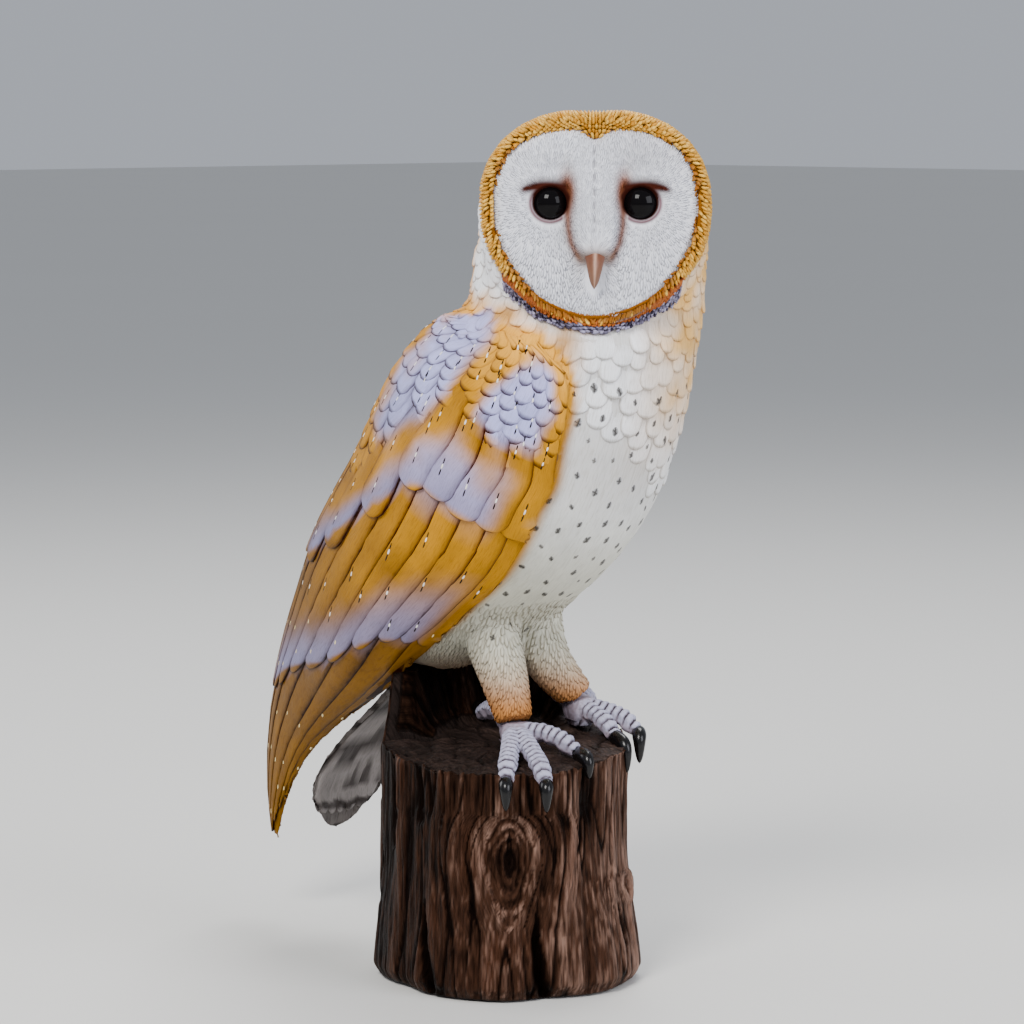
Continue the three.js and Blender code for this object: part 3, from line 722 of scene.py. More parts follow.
STATION_MM = 27.0  # from one station of the body to the next, about
GREATER, SECONDARIES, PRIMARIES = 12, 14, 9  # how many of each long feather
WING_ENDS = {"right": 13.0, "left": 10.8}  # the station of each wing's point
COVERT_ROWS = [0.05, 0.12, 0.19, 0.26, 0.33, 0.4, 0.47, 0.55, 0.64, 0.76]
TRACTS = [  # name, plate, heights of root and tip, crown, tilt
    ("primaries", LONG_VANE, (0.7, 1.2), 0.5, -0.45),
    ("secondaries", LONG_VANE, (0.6, 2.0), 0.55, -0.45),
    ("greater_coverts", LONG_VANE, (0.8, 2.6), 0.5, -0.3),
    ("coverts", SCALE_VANE, (0.1, 1.35), 0.4, 0.0),
]
SIDES = (("right", 1), ("left", -1))


def wing_turn(name, sign, s, v):
    """Degrees round the body of a station and a place across a wing."""
    front = edge_of(name, s)
    return sign * (front + v * (edge_of("back", s) - front))


def wing_width_mm(name, s):
    turn = np.radians(edge_of("back", s) - edge_of(name, s))
    return turn * (at_station("side", s) + at_station("back", s) + 14) / 2


def wing_tracts(last):
    """The feathers of one wing by tract: (station of the tip, place across, width across as
    a share of the wing, length in millimetres). last is the station of its point."""
    small = []
    for row, share in enumerate(COVERT_ROWS):
        step = 0.068 + 0.02 * share
        for k in range(int(1.0 / step) + 1):
            v = 0.01 + (k + 0.5 * (row % 2)) * step + random.uniform(-0.008, 0.008)
            if v > 1.0:
                continue
            start = 0.92 + 0.1 * smooth(v, 0.4, 0.9)
            tip = start + share * (greater_end(v) - start) + random.uniform(-0.035, 0.035)
            small.append((tip, v, step * random.uniform(1.3, 1.5), 13 + 10 * share + 8 * share * v))
    greater = []
    for k in range(GREATER):
        v = 0.03 + k * 0.088
        tip = greater_end(v) + random.uniform(-0.05, 0.05)
        greater.append((tip, v, 0.125, 40 + 22 * smooth(v, 0.2, 0.6)))
    secondary = []
    for k in range(SECONDARIES):
        v = 0.02 + k * 0.074
        tip = secondary_end(v) + random.uniform(-0.06, 0.06)
        secondary.append((tip, v, 0.112, STATION_MM * (tip - greater_end(v) + 1.6)))
    primary = []
    for k in range(PRIMARIES):
        v = 0.02 + k * 0.115
        tip = last - 1.4 + 1.5 * smooth(v, -0.1, 0.5) + random.uniform(-0.05, 0.05)
        primary.append((tip, v, 0.19, STATION_MM * (tip - secondary_end(v) + 1.2)))
    return primary, secondary, greater, small


# satin acrylic over primer: gold fading to amber, the amber partly painted shade, dark brown in the steps
# between feathers
satin_gold = sprayed_resin("satin_gold_acrylic_on_resin", 0.55, 0.2, 0.5, "#4c240a", grain=0.8)
wing_meshes = {}
wing_feathers = {}
for wing_name, sign in SIDES:
    random.seed(20 + sign)
    wing_feathers[wing_name] = wing_tracts(WING_ENDS[wing_name])
    wing_meshes[wing_name] = []
    for (tract, vane, heights, crown, tilt), feathers in zip(TRACTS, wing_feathers[wing_name]):
        tips, centres, shares, lengths = np.array(feathers, dtype=float).T
        across, along = vane[0][:, 0], vane[0][:, 1]
        s = np.clip(tips[:, None] - (1 - along) * lengths[:, None] / STATION_MM, 0.8, 13)
        v = np.clip(centres[:, None] + across * shares[:, None] / 2, -0.015, 1.02)
        wing_meshes[wing_name].append(moulded(
            f"wing_{wing_name}_{tract}", vane, body_point(s, wing_turn(wing_name, sign, s, v), 8.0),
            shares * wing_width_mm(wing_name, tips), lengths, skin_ground, satin_gold, "wing_paint",
            heights=heights, thick=1.0, crown=crown, tilt=tilt, wash=0.95, shaded=0.5, root_wash=0.3,
            root_end=0.5, middle=0.0,
        ))

# ---------------------------------------------------------------- brushed quill marks
# Short strokes of a fine brush, each standing a hair proud: a white fleck between two black
# ones on the wing feathers, and small soft blots of grey brown over the breast and belly.

STROKE_VANE = vane_shape(2, 4, 0.55, 0.35)
STROKES = [  # start and length along the mark, width, colour
    (-3.8, 2.9, 0.85, "#1d1712"),
    (-1.1, 2.3, 1.05, "#efece6"),
    (1.0, 3.2, 0.95, "#1d1712"),
]
LOW_STROKES = [(-1.1, 2.3, 1.05, "#ecd9a0")]
LOW_ON_WING = 148  # millimetres up: below it the marks are single yellow flecks


def surface_of(*meshes):
    """One surface to lay strokes on, from several meshes."""
    corners, faces = [], []
    for mesh in meshes:
        start = len(corners)
        corners.extend(v.co.copy() for v in mesh.vertices)
        faces.extend([start + i for i in face.vertices] for face in mesh.polygons)
    return BVHTree.FromPolygons(corners, faces)


def brush(name, marks, strokes, ground, slot, fade):
    """Lays strokes at marks: (point on the surface, direction, scale). fade is how far the
    edges of a stroke thin out into the paint under it."""
    spots, ways, normals, widths, lengths, tints = [], [], [], [], [], []
    for place, way, scale in marks:
        spot, normal, _, _ = ground.find_nearest(place * MM)
        way = Vector(way) - Vector(way).dot(normal) * normal
        way.normalize()
        for start, length, width, tint, turn in strokes(scale, place):
            turned = way * math.cos(turn) + normal.cross(way) * math.sin(turn)
            spots.append(np.array(spot) / MM + start * np.array(turned))
            ways.append(turned)
            normals.append(normal)
            widths.append(width)
            lengths.append(length)
            tints.append(hue(tint))
    widths, lengths = np.array(widths), np.array(lengths)
    places = laid_flat(STROKE_VANE, np.array(spots), np.array(normals), np.array(ways), widths, lengths)
    tones = np.repeat(np.array(tints), len(STROKE_VANE[0]), axis=0)
    rim = np.tile(np.maximum(STROKE_VANE[0][:, 3], 1 - STROKE_VANE[0][:, 2]), len(widths))
    if fade:
        tones = spray(tones, coat_colour(places.reshape(-1, 3)), fade * rim)
    moulded(
        name, STROKE_VANE, places, widths, lengths, ground, brushed, slot, heights=(0.12, 0.14), thick=0.5,
        crown=0.04, wash=0.0, root_wash=0.0, middle=0.0, colour=lambda _: tones,
    )


def quill(scale, place):
    kept = LOW_STROKES if place[2] < LOW_ON_WING else STROKES
    return [(start * scale, length * scale, width, tint, 0.0) for start, length, width, tint in kept]


def blot(scale, _):
    tint = "#35322f" if scale > 1.3 else "#5c5953"
    return [
        (-1.15 * scale, 2.3 * scale, 2.1 * scale, tint, random.uniform(-0.4, 0.4)),
        (-0.9 * scale, 1.8 * scale, 1.8 * scale, tint, random.uniform(0.6, 1.2)),
    ]


# artist's acrylic from a brush: thin, smooth and a little glossier than the spray
brushed = sprayed_resin("satin_brushed_acrylic", 0.4, 0.03, 0.5, "#8a7a62", grain=0.2, coat=0.1)
random.seed(53)
for wing_name, sign in SIDES:
    ground = surface_of(*wing_meshes[wing_name])
    primary, secondary, greater, small = wing_feathers[wing_name]
    places = []  # station, place across, scale
    for tip, v, _, _ in small:
        if tip > 1.15 and 0.04 < v < 0.97 and random.random() < 0.42:
            places.append((tip - 0.24, v, 1.0))
    for tip, v, _, _ in greater:
        places.append((tip - 0.5, v + 0.01, 1.1))
        if random.random() < 0.6:
            places.append((tip - 1.25, v + 0.02, 1.0))
    for tip, v, _, _ in secondary:
        for back in (0.45, 1.5, 2.6):
            if tip - back > greater_end(v) + 0.35 and random.random() < 0.85:
                places.append((tip - back + random.uniform(-0.2, 0.2), v + 0.012, 1.1))
    for tip, v, _, _ in primary:
        for back in (0.9, 2.1, 3.2):
            if tip - back > secondary_end(v) + 0.3 and random.random() < 0.8:
                places.append((tip - back + random.uniform(-0.3, 0.3), v + 0.02, 1.0))
    marks = []
    for s, v, scale in places:
        phi = wing_turn(wing_name, sign, s, v)
        outer, inner = body_point(s, phi, 16.0), body_point(s, phi, 0.0)
        hit = ground.ray_cast(Vector(outer * MM), Vector(inner - outer).normalized(), 0.03)[0]
        if hit is not None:
            way = body_point(s + 0.1, phi, 8.0) - body_point(s - 0.1, phi, 8.0)
            way = way / np.linalg.norm(way) + np.array([0, 0, -0.35])
            marks.append((np.array(hit) / MM, way, scale * random.uniform(0.8, 1.1)))
    brush("quill_marks_" + wing_name, marks, quill, ground, "wing_paint", 0)


def shuffled(zone):
    """The numbers of the places that lie in a zone, in a random order."""
    order = list(np.flatnonzero(zone))
    random.shuffle(order)
    return order


ground = surface_of(skin_mesh, breast_mesh)
plain = ~over_wing & ~face_side & (stations > 1.2) & (points[:, 2] > 146) & (stations < 7.5)
order = shuffled(plain & (np.abs(around) < 75))
wide = np.full(len(points), 9.6)
marks = []
for i in scattered(points, ways, wide, wide, order, (0.85, 1.0)):
    way = Vector((random.uniform(-0.35, 0.35), random.uniform(-0.3, 0.3), -1))
    outer = points[i] + 6 * skin_normals[i]
    hit = ground.ray_cast(Vector(outer * MM), -Vector(skin_normals[i]), 0.02)[0]
    if hit is not None:
        marks.append((np.array(hit) / MM, way, random.uniform(1.1, 2.1)))
brush("breast_spots", marks, blot, ground, "breast_paint", 0.75)

# ---------------------------------------------------------------- facial disc
# The heart-shaped face: two puffed cheeks parted by a raised muzzle, moulded with hair-fine
# feathers that stream away from the eyes, sprayed cold white and shaded round the eyes.

EYE_AT = (18.2, 2.0, 33.6)  # side, up and forward of the ball's middle, in the head's frame
EYE_RADIUS = 7.7
BILL_ROOT_UP = -19
# places up the face and the half width of the muzzle there
MUZZLE_EDGE = [(-24, 4.5), (-20, 6.5), (-14, 9.6), (-8, 10.8), (2, 11.2), (12, 11.5), (30, 14)]
FACE_GRID = 230
FACE_WHITE = hue("#eceef6")
FACE_PAINTED_SHADE = hue("#c9c8cd")
FACE_RIM = hue("#a3622b")
LID_BROWN = hue("#4c2219")
RUST = hue("#a05a30")
ROSE = hue("#8a563e")
LID_ROSE = hue("#7c5a62")
DUSK = hue("#6f6a70")
BILL_BROWN = hue("#7d5f48")


def bell(x, middle, width):
    """1 at the middle and softly down to 0 a width or two away."""
    return np.exp(-(((x - middle) / width) ** 2))


def from_eye_middle(side, up):
    return np.hypot(np.abs(side) - EYE_AT[0], (up - EYE_AT[1]) * 1.05)


def face_forward(side, up):
    """How far forward the face's surface stands, in millimetres."""
    across = np.abs(side)
    share = np.hypot(side, up) / disc_edge(side, up)
    cheek = 38.0 + 2.2 * smooth(share, 0.3, 0.85) - 2.4 * smooth(share, 0.9, 1.02) + 1.0 * (1 - share)
    edge = np.interp(up, *zip(*MUZZLE_EDGE))
    muzzle = 1 - smooth(across, edge - 4.0, edge + 0.8)
    length = (1 - smooth(up, 4, 30)) * smooth(up, -26, -16)
    ridge = (1 - 0.3 * (side / 11) ** 2) * (6.2 + 0.05 * (10 - up))
    brow = 1.5 * bell(across, 19, 10) * bell(up, 12.0, 3.2)
    lobes = 1.6 * bell(across, 17, 9) * bell(up, 23, 8)
    parting = 0.7 * np.exp(-((side + 0.5) ** 2) / 3) * smooth(up, 8, 22)
    eye = from_eye_middle(side, up)
    socket = 2.3 * np.exp(-((eye / 9.0) ** 4))
    lid = 1.0 * bell(eye, 7.6, 0.75) * (1 - muzzle)
    under_ball = 5.0 * (1 - smooth(eye, 4.8, 6.4))
    return cheek + muzzle * length * ridge + brow + lobes - parting - socket + lid - under_ball


def face_colour(side, up):
    """The face's paint: white, with the lids, eye corners and muzzle edges shaded by hand, and grey painted
    shade over the upper face on the owl's left.
    """
    across = np.abs(side)
    eye = from_eye_middle(side, up)
    edge = np.interp(up, *zip(*MUZZLE_EDGE))
    share = np.hypot(side, up) / disc_edge(side, up)
    corner = np.hypot((across - 11.4) / 3.6, (up - 6.5) / 8.5)
    wedge_up = 9.0 - 0.017 * (across - 20) ** 2
    thick = np.where(up > wedge_up, 2.6, 2.8) * (1 - 0.5 * smooth(across, 22, 31))
    wedge = bell(up, wedge_up, thick) * smooth(across, 9, 12.5) * (1 - smooth(across, 28, 32))
    line = bell(across, edge + 0.1, 1.9) * smooth(up, -24, -19) * (1 - smooth(up, 4, 9))
    root = np.exp(-((side / 8.0) ** 4) - ((up + 19.8) / 4.2) ** 2)
    parting = bell(side, -0.6, 0.55) * smooth(up, -11, -8) * (np.sin(up * 1.15) > -0.2)
    rim = bell(eye, 7.9, 0.9) * (across > EYE_AT[0] - 5) * (1 - smooth(up, 3, 8))
    inner = (1 - smooth(eye, 6.9, 7.5)) + bell(eye, 7.4, 1.4) * smooth(up, 2, 6)
    inner = inner + 0.9 * bell(eye, 7.0, 1.4) * (1 - smooth(across, 10.5, 14))
    colour = np.tile(FACE_WHITE, (len(side), 1))
    for paint, amount in (
        # painted shade: grey over the upper face, stronger towards the owl's left
        (FACE_PAINTED_SHADE, 0.5 * smooth(up, 8, 26) * smooth(side, -2, 18)),
        (FACE_RIM, 0.8 * smooth(share, 0.97, 1.0)),
        (RUST, np.exp(-(corner**3))),
        (LID_BROWN, 1.1 * wedge),
        (ROSE, 0.9 * line),
        (BILL_BROWN, 0.9 * root),
        (DUSK, 0.6 * parting),
        (LID_ROSE, rim),
        (LID_BROWN * 0.5, inner),
    ):
        colour = spray(colour, paint, amount)
    return colour


face_shape = bmesh.new()
bmesh.ops.create_grid(face_shape, x_segments=FACE_GRID, y_segments=FACE_GRID, size=1)
# the square grid is rounded, then drawn out to the heart's outline
flat = np.array([v.co[:2] for v in face_shape.verts])
side = flat[:, 0] * np.sqrt(1 - flat[:, 1] ** 2 / 2)
up = flat[:, 1] * np.sqrt(1 - flat[:, 0] ** 2 / 2)
reach = 1.045 * disc_edge(side, up)
side, up = side * reach, up * reach
forward = face_forward(side, up)
face_points = in_head(side, up, forward)
for vertex, spot in zip(face_shape.verts, face_points * MM):
    vertex.co = spot
face_shape.normal_update()
face_ground = BVHTree.FromBMesh(face_shape)
face_normals = np.array([v.normal for v in face_shape.verts])
face_mesh = bpy.data.meshes.new("facial_disc")
face_shape.to_mesh(face_mesh)
face_shape.free()
lie = np.stack([side, up, forward], axis=1)
finished(face_mesh, face_colour(side, up), np.full(len(side), 0.15), lie)
# matt cold white acrylic: chalky, with hardly any shine
cold_white = sprayed_resin("matt_white_acrylic_on_resin", 0.5, 0.1, 0.6, "#77716f", grain=0.5)
keep("facial_disc", face_mesh, cold_white, "breast_paint")

# the hair-fine feathers: away from each eye over the cheeks, up and out over the muzzle
random.seed(31)
order = shuffled(np.full(len(side), True))
across = np.abs(side)
away_side = np.sign(side) * (across - EYE_AT[0])
away_up = up - EYE_AT[1]
above_bill = up - BILL_ROOT_UP
from_eye = np.hypot(away_side, away_up) + 1e-6
from_bill = np.hypot(side, above_bill) + 1e-6
centre = 1 - smooth(across, 5, 12)
way_side = away_side / from_eye * (1 - centre) + side / from_bill * centre
way_up = away_up / from_eye * (1 - centre) + above_bill / from_bill * centre
ways = along_surface(head_way(way_side, way_up, 0 * way_up), face_normals)
share = np.hypot(side, up) / disc_edge(side, up)
clear = (from_eye > 8.0) & (share < 0.985) & (np.hypot(side, (up + 26) / 1.9) > 3.4)
sizes = 0.6 + 0.5 * smooth(from_eye, 8, 24) - 0.25 * centre
kept = scattered(face_points, ways, sizes, 4.2 * sizes, [i for i in order if clear[i]], (0.8, 0.6))
widths = 1.25 * sizes[kept]
lengths = sizes[kept] * np.array([random.uniform(4.6, 7.0) for _ in kept])
places = laid_flat(TUFT_VANE, face_points[kept], face_normals[kept], ways[kept], widths, lengths)
# the same white over finer combing, with grey wash between the hairs
white_hair = sprayed_resin("matt_white_hair_feathers", 0.3, 0.3, 0.6, "#64656f", grain=0.9)
for half_name, half in (("right", side[kept] < 0), ("left", side[kept] >= 0)):
    moulded(
        "facial_feathers_" + half_name, TUFT_VANE, places[half], widths[half], lengths[half], face_ground,
        white_hair, "breast_paint", heights=(-0.15, 0.5), thick=0.4, crown=0.16, wash=0.6, root_wash=0.4,
        middle=0.0, colour=lambda spots: face_colour(*head_place(spots)[:2]),
    )

# ---------------------------------------------------------------- ruff and throat band
# Round the disc runs a cord of tiny stiff feathers, gilded; under the chin a second, darker
# band of them is brushed violet grey.

GILT, GILT_LIGHT, RIM_BROWN = hue("#d08f22"), hue("#f8c75c"), hue("#8a4312")
VIOLET, VIOLET_LIGHT, PEACH = hue("#332d40"), hue("#b4b0cf"), hue("#b8662a")

random.seed(37)
side, up, forward = head_place(points)
cord = ruff_width(side, up)
in_ruff = (outside > -1.3) & (outside < cord) & (forward > 32.5)
in_band = under & (np.abs(from_band - 0.6) < 1.8)
in_seam = under & (from_band > 2.0) & (outside > cord - 1.0)
# the little feathers lie outwards and down, and straight outwards where the crown dips
turned = np.sign(-side)
downward = head_way(-up * turned, side * turned, 0 * up)
lean = np.where(in_ruff, 0.9 * np.where(up > 0, smooth(np.abs(side), 0, 9), 1.0), 2.2)[:, None]
ways = head_way(side, up, 0 * up) / 45 + lean * downward / 45 + 0.4 * head_way(0, 0, -1) * in_ruff[:, None]
ways = along_surface(ways, skin_normals)
sizes = np.where(in_band, 1.3, 1.2)
kept = scattered(points, ways, sizes, 1.5 * sizes, shuffled(in_ruff | in_band | in_seam), (0.62, 0.58))
jitter = np.array([random.uniform(0.85, 1.2) for _ in kept])
widths = 1.1 * sizes[kept] * jitter
lengths = 2.1 * sizes[kept] * jitter
shades = np.array([random.random() for _ in kept])
gilt = GILT + (GILT_LIGHT - GILT) * (shades**1.1)[:, None]
gilt = spray(gilt, RIM_BROWN, 0.7 * (outside[kept] < -0.6))
violet = VIOLET + (VIOLET_LIGHT - VIOLET) * (shades**1.3)[:, None]
tones = np.where(in_band[kept][:, None], violet, np.where(in_seam[kept][:, None], PEACH, gilt))
tones = np.repeat(tones, len(TUFT_VANE[0]), axis=0)
# satin gilt acrylic: a warm sheen on each little ridge, brown wash between them
gilded = sprayed_resin("satin_gilt_acrylic_on_resin", 0.4, 0.15, 0.42, "#5a3014", coat=0.15)
moulded(
    "ruff_feathers", TUFT_VANE,
    laid_flat(TUFT_VANE, points[kept], skin_normals[kept], ways[kept], widths, lengths), widths, lengths,
    skin_ground, gilded, "breast_paint", heights=(0.9, 2.3), thick=1.0, crown=0.4, wash=0.4, root_wash=0.25,
    middle=0.0, colour=lambda _: tones,
)


# ---------------------------------------------------------------- eyes
# Black glass-like beads: cast with the head, painted black and sealed with clear gloss.

# clear lacquer over black: a mirror-like shine with a small bright highlight, over a
# cloudy black with swirls 17 mm across
settings = {"Roughness": 0.05, "IOR": 1.45, "Specular IOR Level": 0.12}
black_gloss, tree, shader = new_finish("clear_gloss_over_black", settings)
swirl = add_node(tree, "TexNoise", {"Scale": 60.0, "Detail": 2.0})
blacks = {"data_type": "RGBA", 6: linear("#050506"), 7: linear("#0c090a")}
tint = add_node(tree, "Mix", blacks, {0: swirl.outputs["Fac"]})
tree.links.new(tint.outputs[2], shader.inputs["Base Color"])
for eye_name, sign in (("eye_right", -1), ("eye_left", 1)):
    ball = bmesh.new()
    bmesh.ops.create_uvsphere(ball, u_segments=48, v_segments=32, radius=EYE_RADIUS * MM)
    bmesh.ops.translate(ball, verts=ball.verts, vec=in_head(sign * EYE_AT[0], EYE_AT[1], EYE_AT[2]) * MM)
    ball_mesh = bpy.data.meshes.new(eye_name)
    ball.to_mesh(ball_mesh)
    ball.free()
    keep(eye_name + "_bead", ball_mesh, black_gloss, "eye_gloss", eye_name)

# ---------------------------------------------------------------- bill
# A short hooked bill that lies almost flat down the face, painted flesh brown with a
# painted highlight along its ridge, and lightly polished.

BILL_ROUTE = [  # along, up, forward, half width, half depth
    (0.0, -12.0, 40.0, 4.0, 3.0),
    (0.25, -17.0, 42.0, 4.4, 3.3),
    (0.5, -21.0, 45.4, 3.6, 3.1),
    (0.75, -25.8, 46.6, 2.6, 2.6),
    (0.92, -30.0, 45.6, 1.4, 1.5),
    (1.0, -32.2, 44.0, 0.0, 0.0),
]
BILL_GIRTH, BILL_LONG = 20, 22
HORN, HORN_HIGHLIGHT, HORN_DARK = hue("#85604d"), hue("#bf9a86"), hue("#6b4030")


def rolled(name, columns, rows, place):
    """A closed mesh from a grid rolled into a tube. place takes arrays of turns (0 to 1) and
    places along (0 to 1) and gives a row for each corner: its millimetre point and anything
    else that is known of it. The end rows shrink to points. Returns the mesh, and its
    corners' turns, places along and rows."""
    shape = bmesh.new()
    bmesh.ops.create_grid(shape, x_segments=columns, y_segments=rows, size=0.5)
    turns, along = np.array([v.co[:2] for v in shape.verts]).T + 0.5
    number = shape.verts.layers.int.new("number")
    rows_known = place(turns, along)
    for i, vertex in enumerate(shape.verts):
        vertex.co = rows_known[i, :3] * MM
        vertex[number] = i
    bmesh.ops.remove_doubles(shape, verts=shape.verts, dist=1e-7)
    bmesh.ops.recalc_face_normals(shape, faces=shape.faces)
    numbers = np.array([vertex[number] for vertex in shape.verts])
    shape.verts.layers.int.remove(number)
    mesh = bpy.data.meshes.new(name)
    shape.to_mesh(mesh)
    shape.free()
    return mesh, turns[numbers], along[numbers], rows_known[numbers]


def bill_place(turns, along):
    up, forward, half, deep = (through([(row[0], row[k]) for row in BILL_ROUTE], along) for k in range(1, 5))
    closed = np.where(along < 0.02, 0.0, 1.0)
    angle = 2 * math.pi * turns
    # narrower towards the ridge, so that the ridge shows as an edge
    across = np.cos(angle) * half * (1 - 0.35 * np.clip(np.sin(angle), 0, 1))
    return in_head(-0.6 * along + across * closed, up, forward + np.sin(angle) * deep * closed)


bill_mesh, turns, along, _ = rolled("bill", 40, 60, bill_place)
# painted highlight: a lighter line of colour along the top of the ridge
ridge = bell(turns, 0.25, 0.05)
horn = spray(HORN, HORN_HIGHLIGHT, ridge)
horn = spray(horn, HORN_DARK, 0.8 * (1 - smooth(along, 0.35, 0.8)) * (1 - ridge))
lie = np.stack([turns * BILL_GIRTH, along * BILL_LONG, 0 * along], axis=1)
finished(bill_mesh, horn, 0.1 + 0 * along, lie)
# flesh brown acrylic under a thin varnish, with a soft shine; the light ridge is a painted highlight
polished_horn = sprayed_resin("satin_flesh_brown_acrylic", 0.5, 0.06, 0.38, "#5b3a2c", grain=0.5, coat=0.2)
keep("bill_horn", bill_mesh, polished_horn, "bill_paint", "bill")

# ---------------------------------------------------------------- leg feathers
# Short hairy feathers down both legs to the ankles, cream at the thigh and ochre below.

random.seed(59)
legged = (points[:, 2] < 163) & (points[:, 1] < 34) & (stations > 2.2) & (np.abs(around) < 110) & ~over_wing
ways = along_surface(np.array([(0.0, 0.25, -1.0)]), skin_normals)
sizes = 1.15 + 0.6 * smooth(points[:, 2], 125, 160)
kept = scattered(points, ways, sizes, 2.6 * sizes, shuffled(legged), (0.85, 0.85))
widths = 1.3 * sizes[kept]
lengths = sizes[kept] * np.array([random.uniform(3.8, 5.4) for _ in kept])
moulded(
    "leg_feathers", TUFT_VANE,
    laid_flat(TUFT_VANE, points[kept], skin_normals[kept], ways[kept], widths, lengths), widths, lengths,
    skin_ground, soft_white, "neck_paint", heights=(-0.2, 0.85), thick=0.5, crown=0.25, wash=0.45,
    root_wash=0.3, middle=0.0,
)

# ---------------------------------------------------------------- tail
# A short barred tail under the wing tips: long overlapping vanes moulded on both faces of a
# thin core, painted stone grey darkened with painted shade, and crossed by brown bars.

TAIL_ROUTE = [(0.0, 50, 142), (0.25, 73, 116), (0.5, 92, 95), (0.75, 105, 73), (1.0, 112, 48)]
TAIL_HALF = [(0, 14), (0.4, 20), (0.7, 24), (0.88, 21), (1, 13)]
TAIL_LONG = 115.0
TAIL_SWING = np.array([-5.0, 4.0, -2.0])  # how far its end is set over to the owl's right
TAIL_VANES = 7
BAR_STEP = 12.5
# the stone grey is kept dark as painted shade, for a tail lying under the wings and beside the stump
SHADED_STONE, BAR = hue("#a39c9a"), hue("#302726")


def swung(points):
    return points + smooth(-points[..., 2:], -125, -55) * TAIL_SWING


def tail_point(across, along, under):
    """Points on the tail's upper or under face; across runs from -1 to 1."""
    steps = np.arange(0, 1.001, 0.02)
    y_at, z_at = (through([(row[0], row[k]) for row in TAIL_ROUTE], steps) for k in (1, 2))
    dy, dz = np.gradient(y_at), np.gradient(z_at)
    half = np.interp(along, *zip(*TAIL_HALF))
    fall = 4 * across**2 + under * 6 * (1 - 0.45 * along)
    y = np.interp(along, steps, y_at) + fall * np.interp(along, steps, dz / np.hypot(dy, dz))
    z = np.interp(along, steps, z_at) - fall * np.interp(along, steps, dy / np.hypot(dy, dz))
    return swung(np.stack([OWL_X + half * across + 0 * y, y, z], axis=-1))


def tail_paint(points):
    shelf = np.arange(0, 1.001, 0.01)
    middle = tail_point(0 * shelf, shelf, 0.5)[:, 1:]
    along = shelf[((points[:, None, 1:] - middle[None]) ** 2).sum(axis=2).argmin(axis=1)] * TAIL_LONG
    aside = (points[:, 0] - OWL_X) / 6
    wave = drift(np.stack([aside, along / 14, 3.1 + 0 * along], axis=1), 1)
    bars = smooth(np.sin(2 * math.pi * (along + 4 * wave + 1.2 * np.abs(aside)) / BAR_STEP), 0.1, 0.75)
    mottle = drift(points, 0.35)
    base = SHADED_STONE * (1 + 0.18 * mottle)[:, None]
    return base + (BAR - base) * (bars * (0.85 + 0.3 * mottle))[:, None]


core_mesh = made_with(
    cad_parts["tail"].data.copy(),
    ("REMESH", {"mode": "VOXEL", "voxel_size": 1.1 * MM}),
    ("SMOOTH", {"iterations": 4, "factor": 0.5}),
    ("DISPLACE", {"strength": -0.9 * MM, "mid_level": 0.0}),
)
core_points = swung(spots_of(core_mesh.vertices))
core_mesh.vertices.foreach_set("co", (core_points * MM).ravel())
core_mesh.update()
core = bmesh.new()
core.from_mesh(core_mesh)
core.normal_update()
tail_ground = BVHTree.FromBMesh(core)
core.free()
finished(core_mesh, tail_paint(core_points), np.full(len(core_points), 0.6), core_points[:, [0, 2, 1]])
# matt grey acrylic, its grey darkened as painted shade, with brown bars brushed across it
barred_grey = sprayed_resin("matt_grey_acrylic_and_painted_shade_barred_brown", 0.6, 0.2, 0.6, "#4d4038")
keep("tail_core", core_mesh, barred_grey, "tail_paint", "tail")
random.seed(41)
across, along = LONG_VANE[0][:, 0], LONG_VANE[0][:, 1]
rows = []
for under in (0, 1):
    for k in range(TAIL_VANES):
        middle = -0.84 + 0.28 * k
        reach = 0.95 - 0.03 * abs(middle) - random.uniform(0, 0.03)
        t = 0.1 + (reach - 0.1) * along
        rows.append(tail_point(np.clip(middle * (0.5 + 0.5 * t) + across * 0.25, -1, 1), t, under))
moulded(
    "tail_feathers", LONG_VANE, np.array(rows), np.full(len(rows), 11.0), np.full(len(rows), 98.0),
    tail_ground, barred_grey, "tail_paint", heights=(-0.2, 1.0), thick=0.9, tilt=-0.3, wash=0.7,
    colour=tail_paint,
)


# ---------------------------------------------------------------- feet
# Bare scaled toes gripping the stump: each toe is ringed by raised scutes with brown wash
# left between them, over a pale lavender grey.

ANKLES = {"right": Vector((-6, -11, 111)), "left": Vector((33, -10, 117))}
TOES = {  # the end of each toe and the point of its claw
    "right": {
        "outer": (Vector((-36.5, -36.5, 94.5)), Vector((-42, -42, 81))),
        "middle": (Vector((-26, -49.5, 94)), Vector((-30.5, -54, 80.5))),
        "inner": (Vector((2, -40, 101.5)), Vector((-4, -53, 91))),
        "back": (Vector((10, 24, 108)), Vector((13, 31, 107))),
    },
    "left": {
        "inner": (Vector((30.5, -34, 105)), Vector((27, -45.5, 88))),
        "middle": (Vector((42, -38, 106)), Vector((36, -44, 91))),
        "outer": (Vector((54, 3, 110)), Vector((60.5, 5, 99))),
        "back": (Vector((44, 16, 111)), Vector((46.5, 24, 106.5))),
    },
}
TOE_DROP = 2.6  # how far the last joint bends over the stump's edge
TOE_STEPS = 60  # points on the line along the middle of a toe
SCUTE = 3.1  # millimetres from one ring to the next
TOE_GREY, TOE_ROSE = hue("#aeaec4"), hue("#8a6f70")
STUMP_TOP = 101.0  # the cut face of the stump, at its axis


def top_face(x, y):
    """Height of the stump's slanting cut face."""
    return STUMP_TOP + 0.12 * (x + y) * math.sqrt(0.5)


def route_points(corners, count):
    """Points along a smooth curve through corners, as an array."""
    places = np.linspace(0, 1, len(corners))
    steps = np.linspace(0, 1, count)
    return np.stack([through(list(zip(places, axis)), steps) for axis in np.array(corners).T], axis=1)


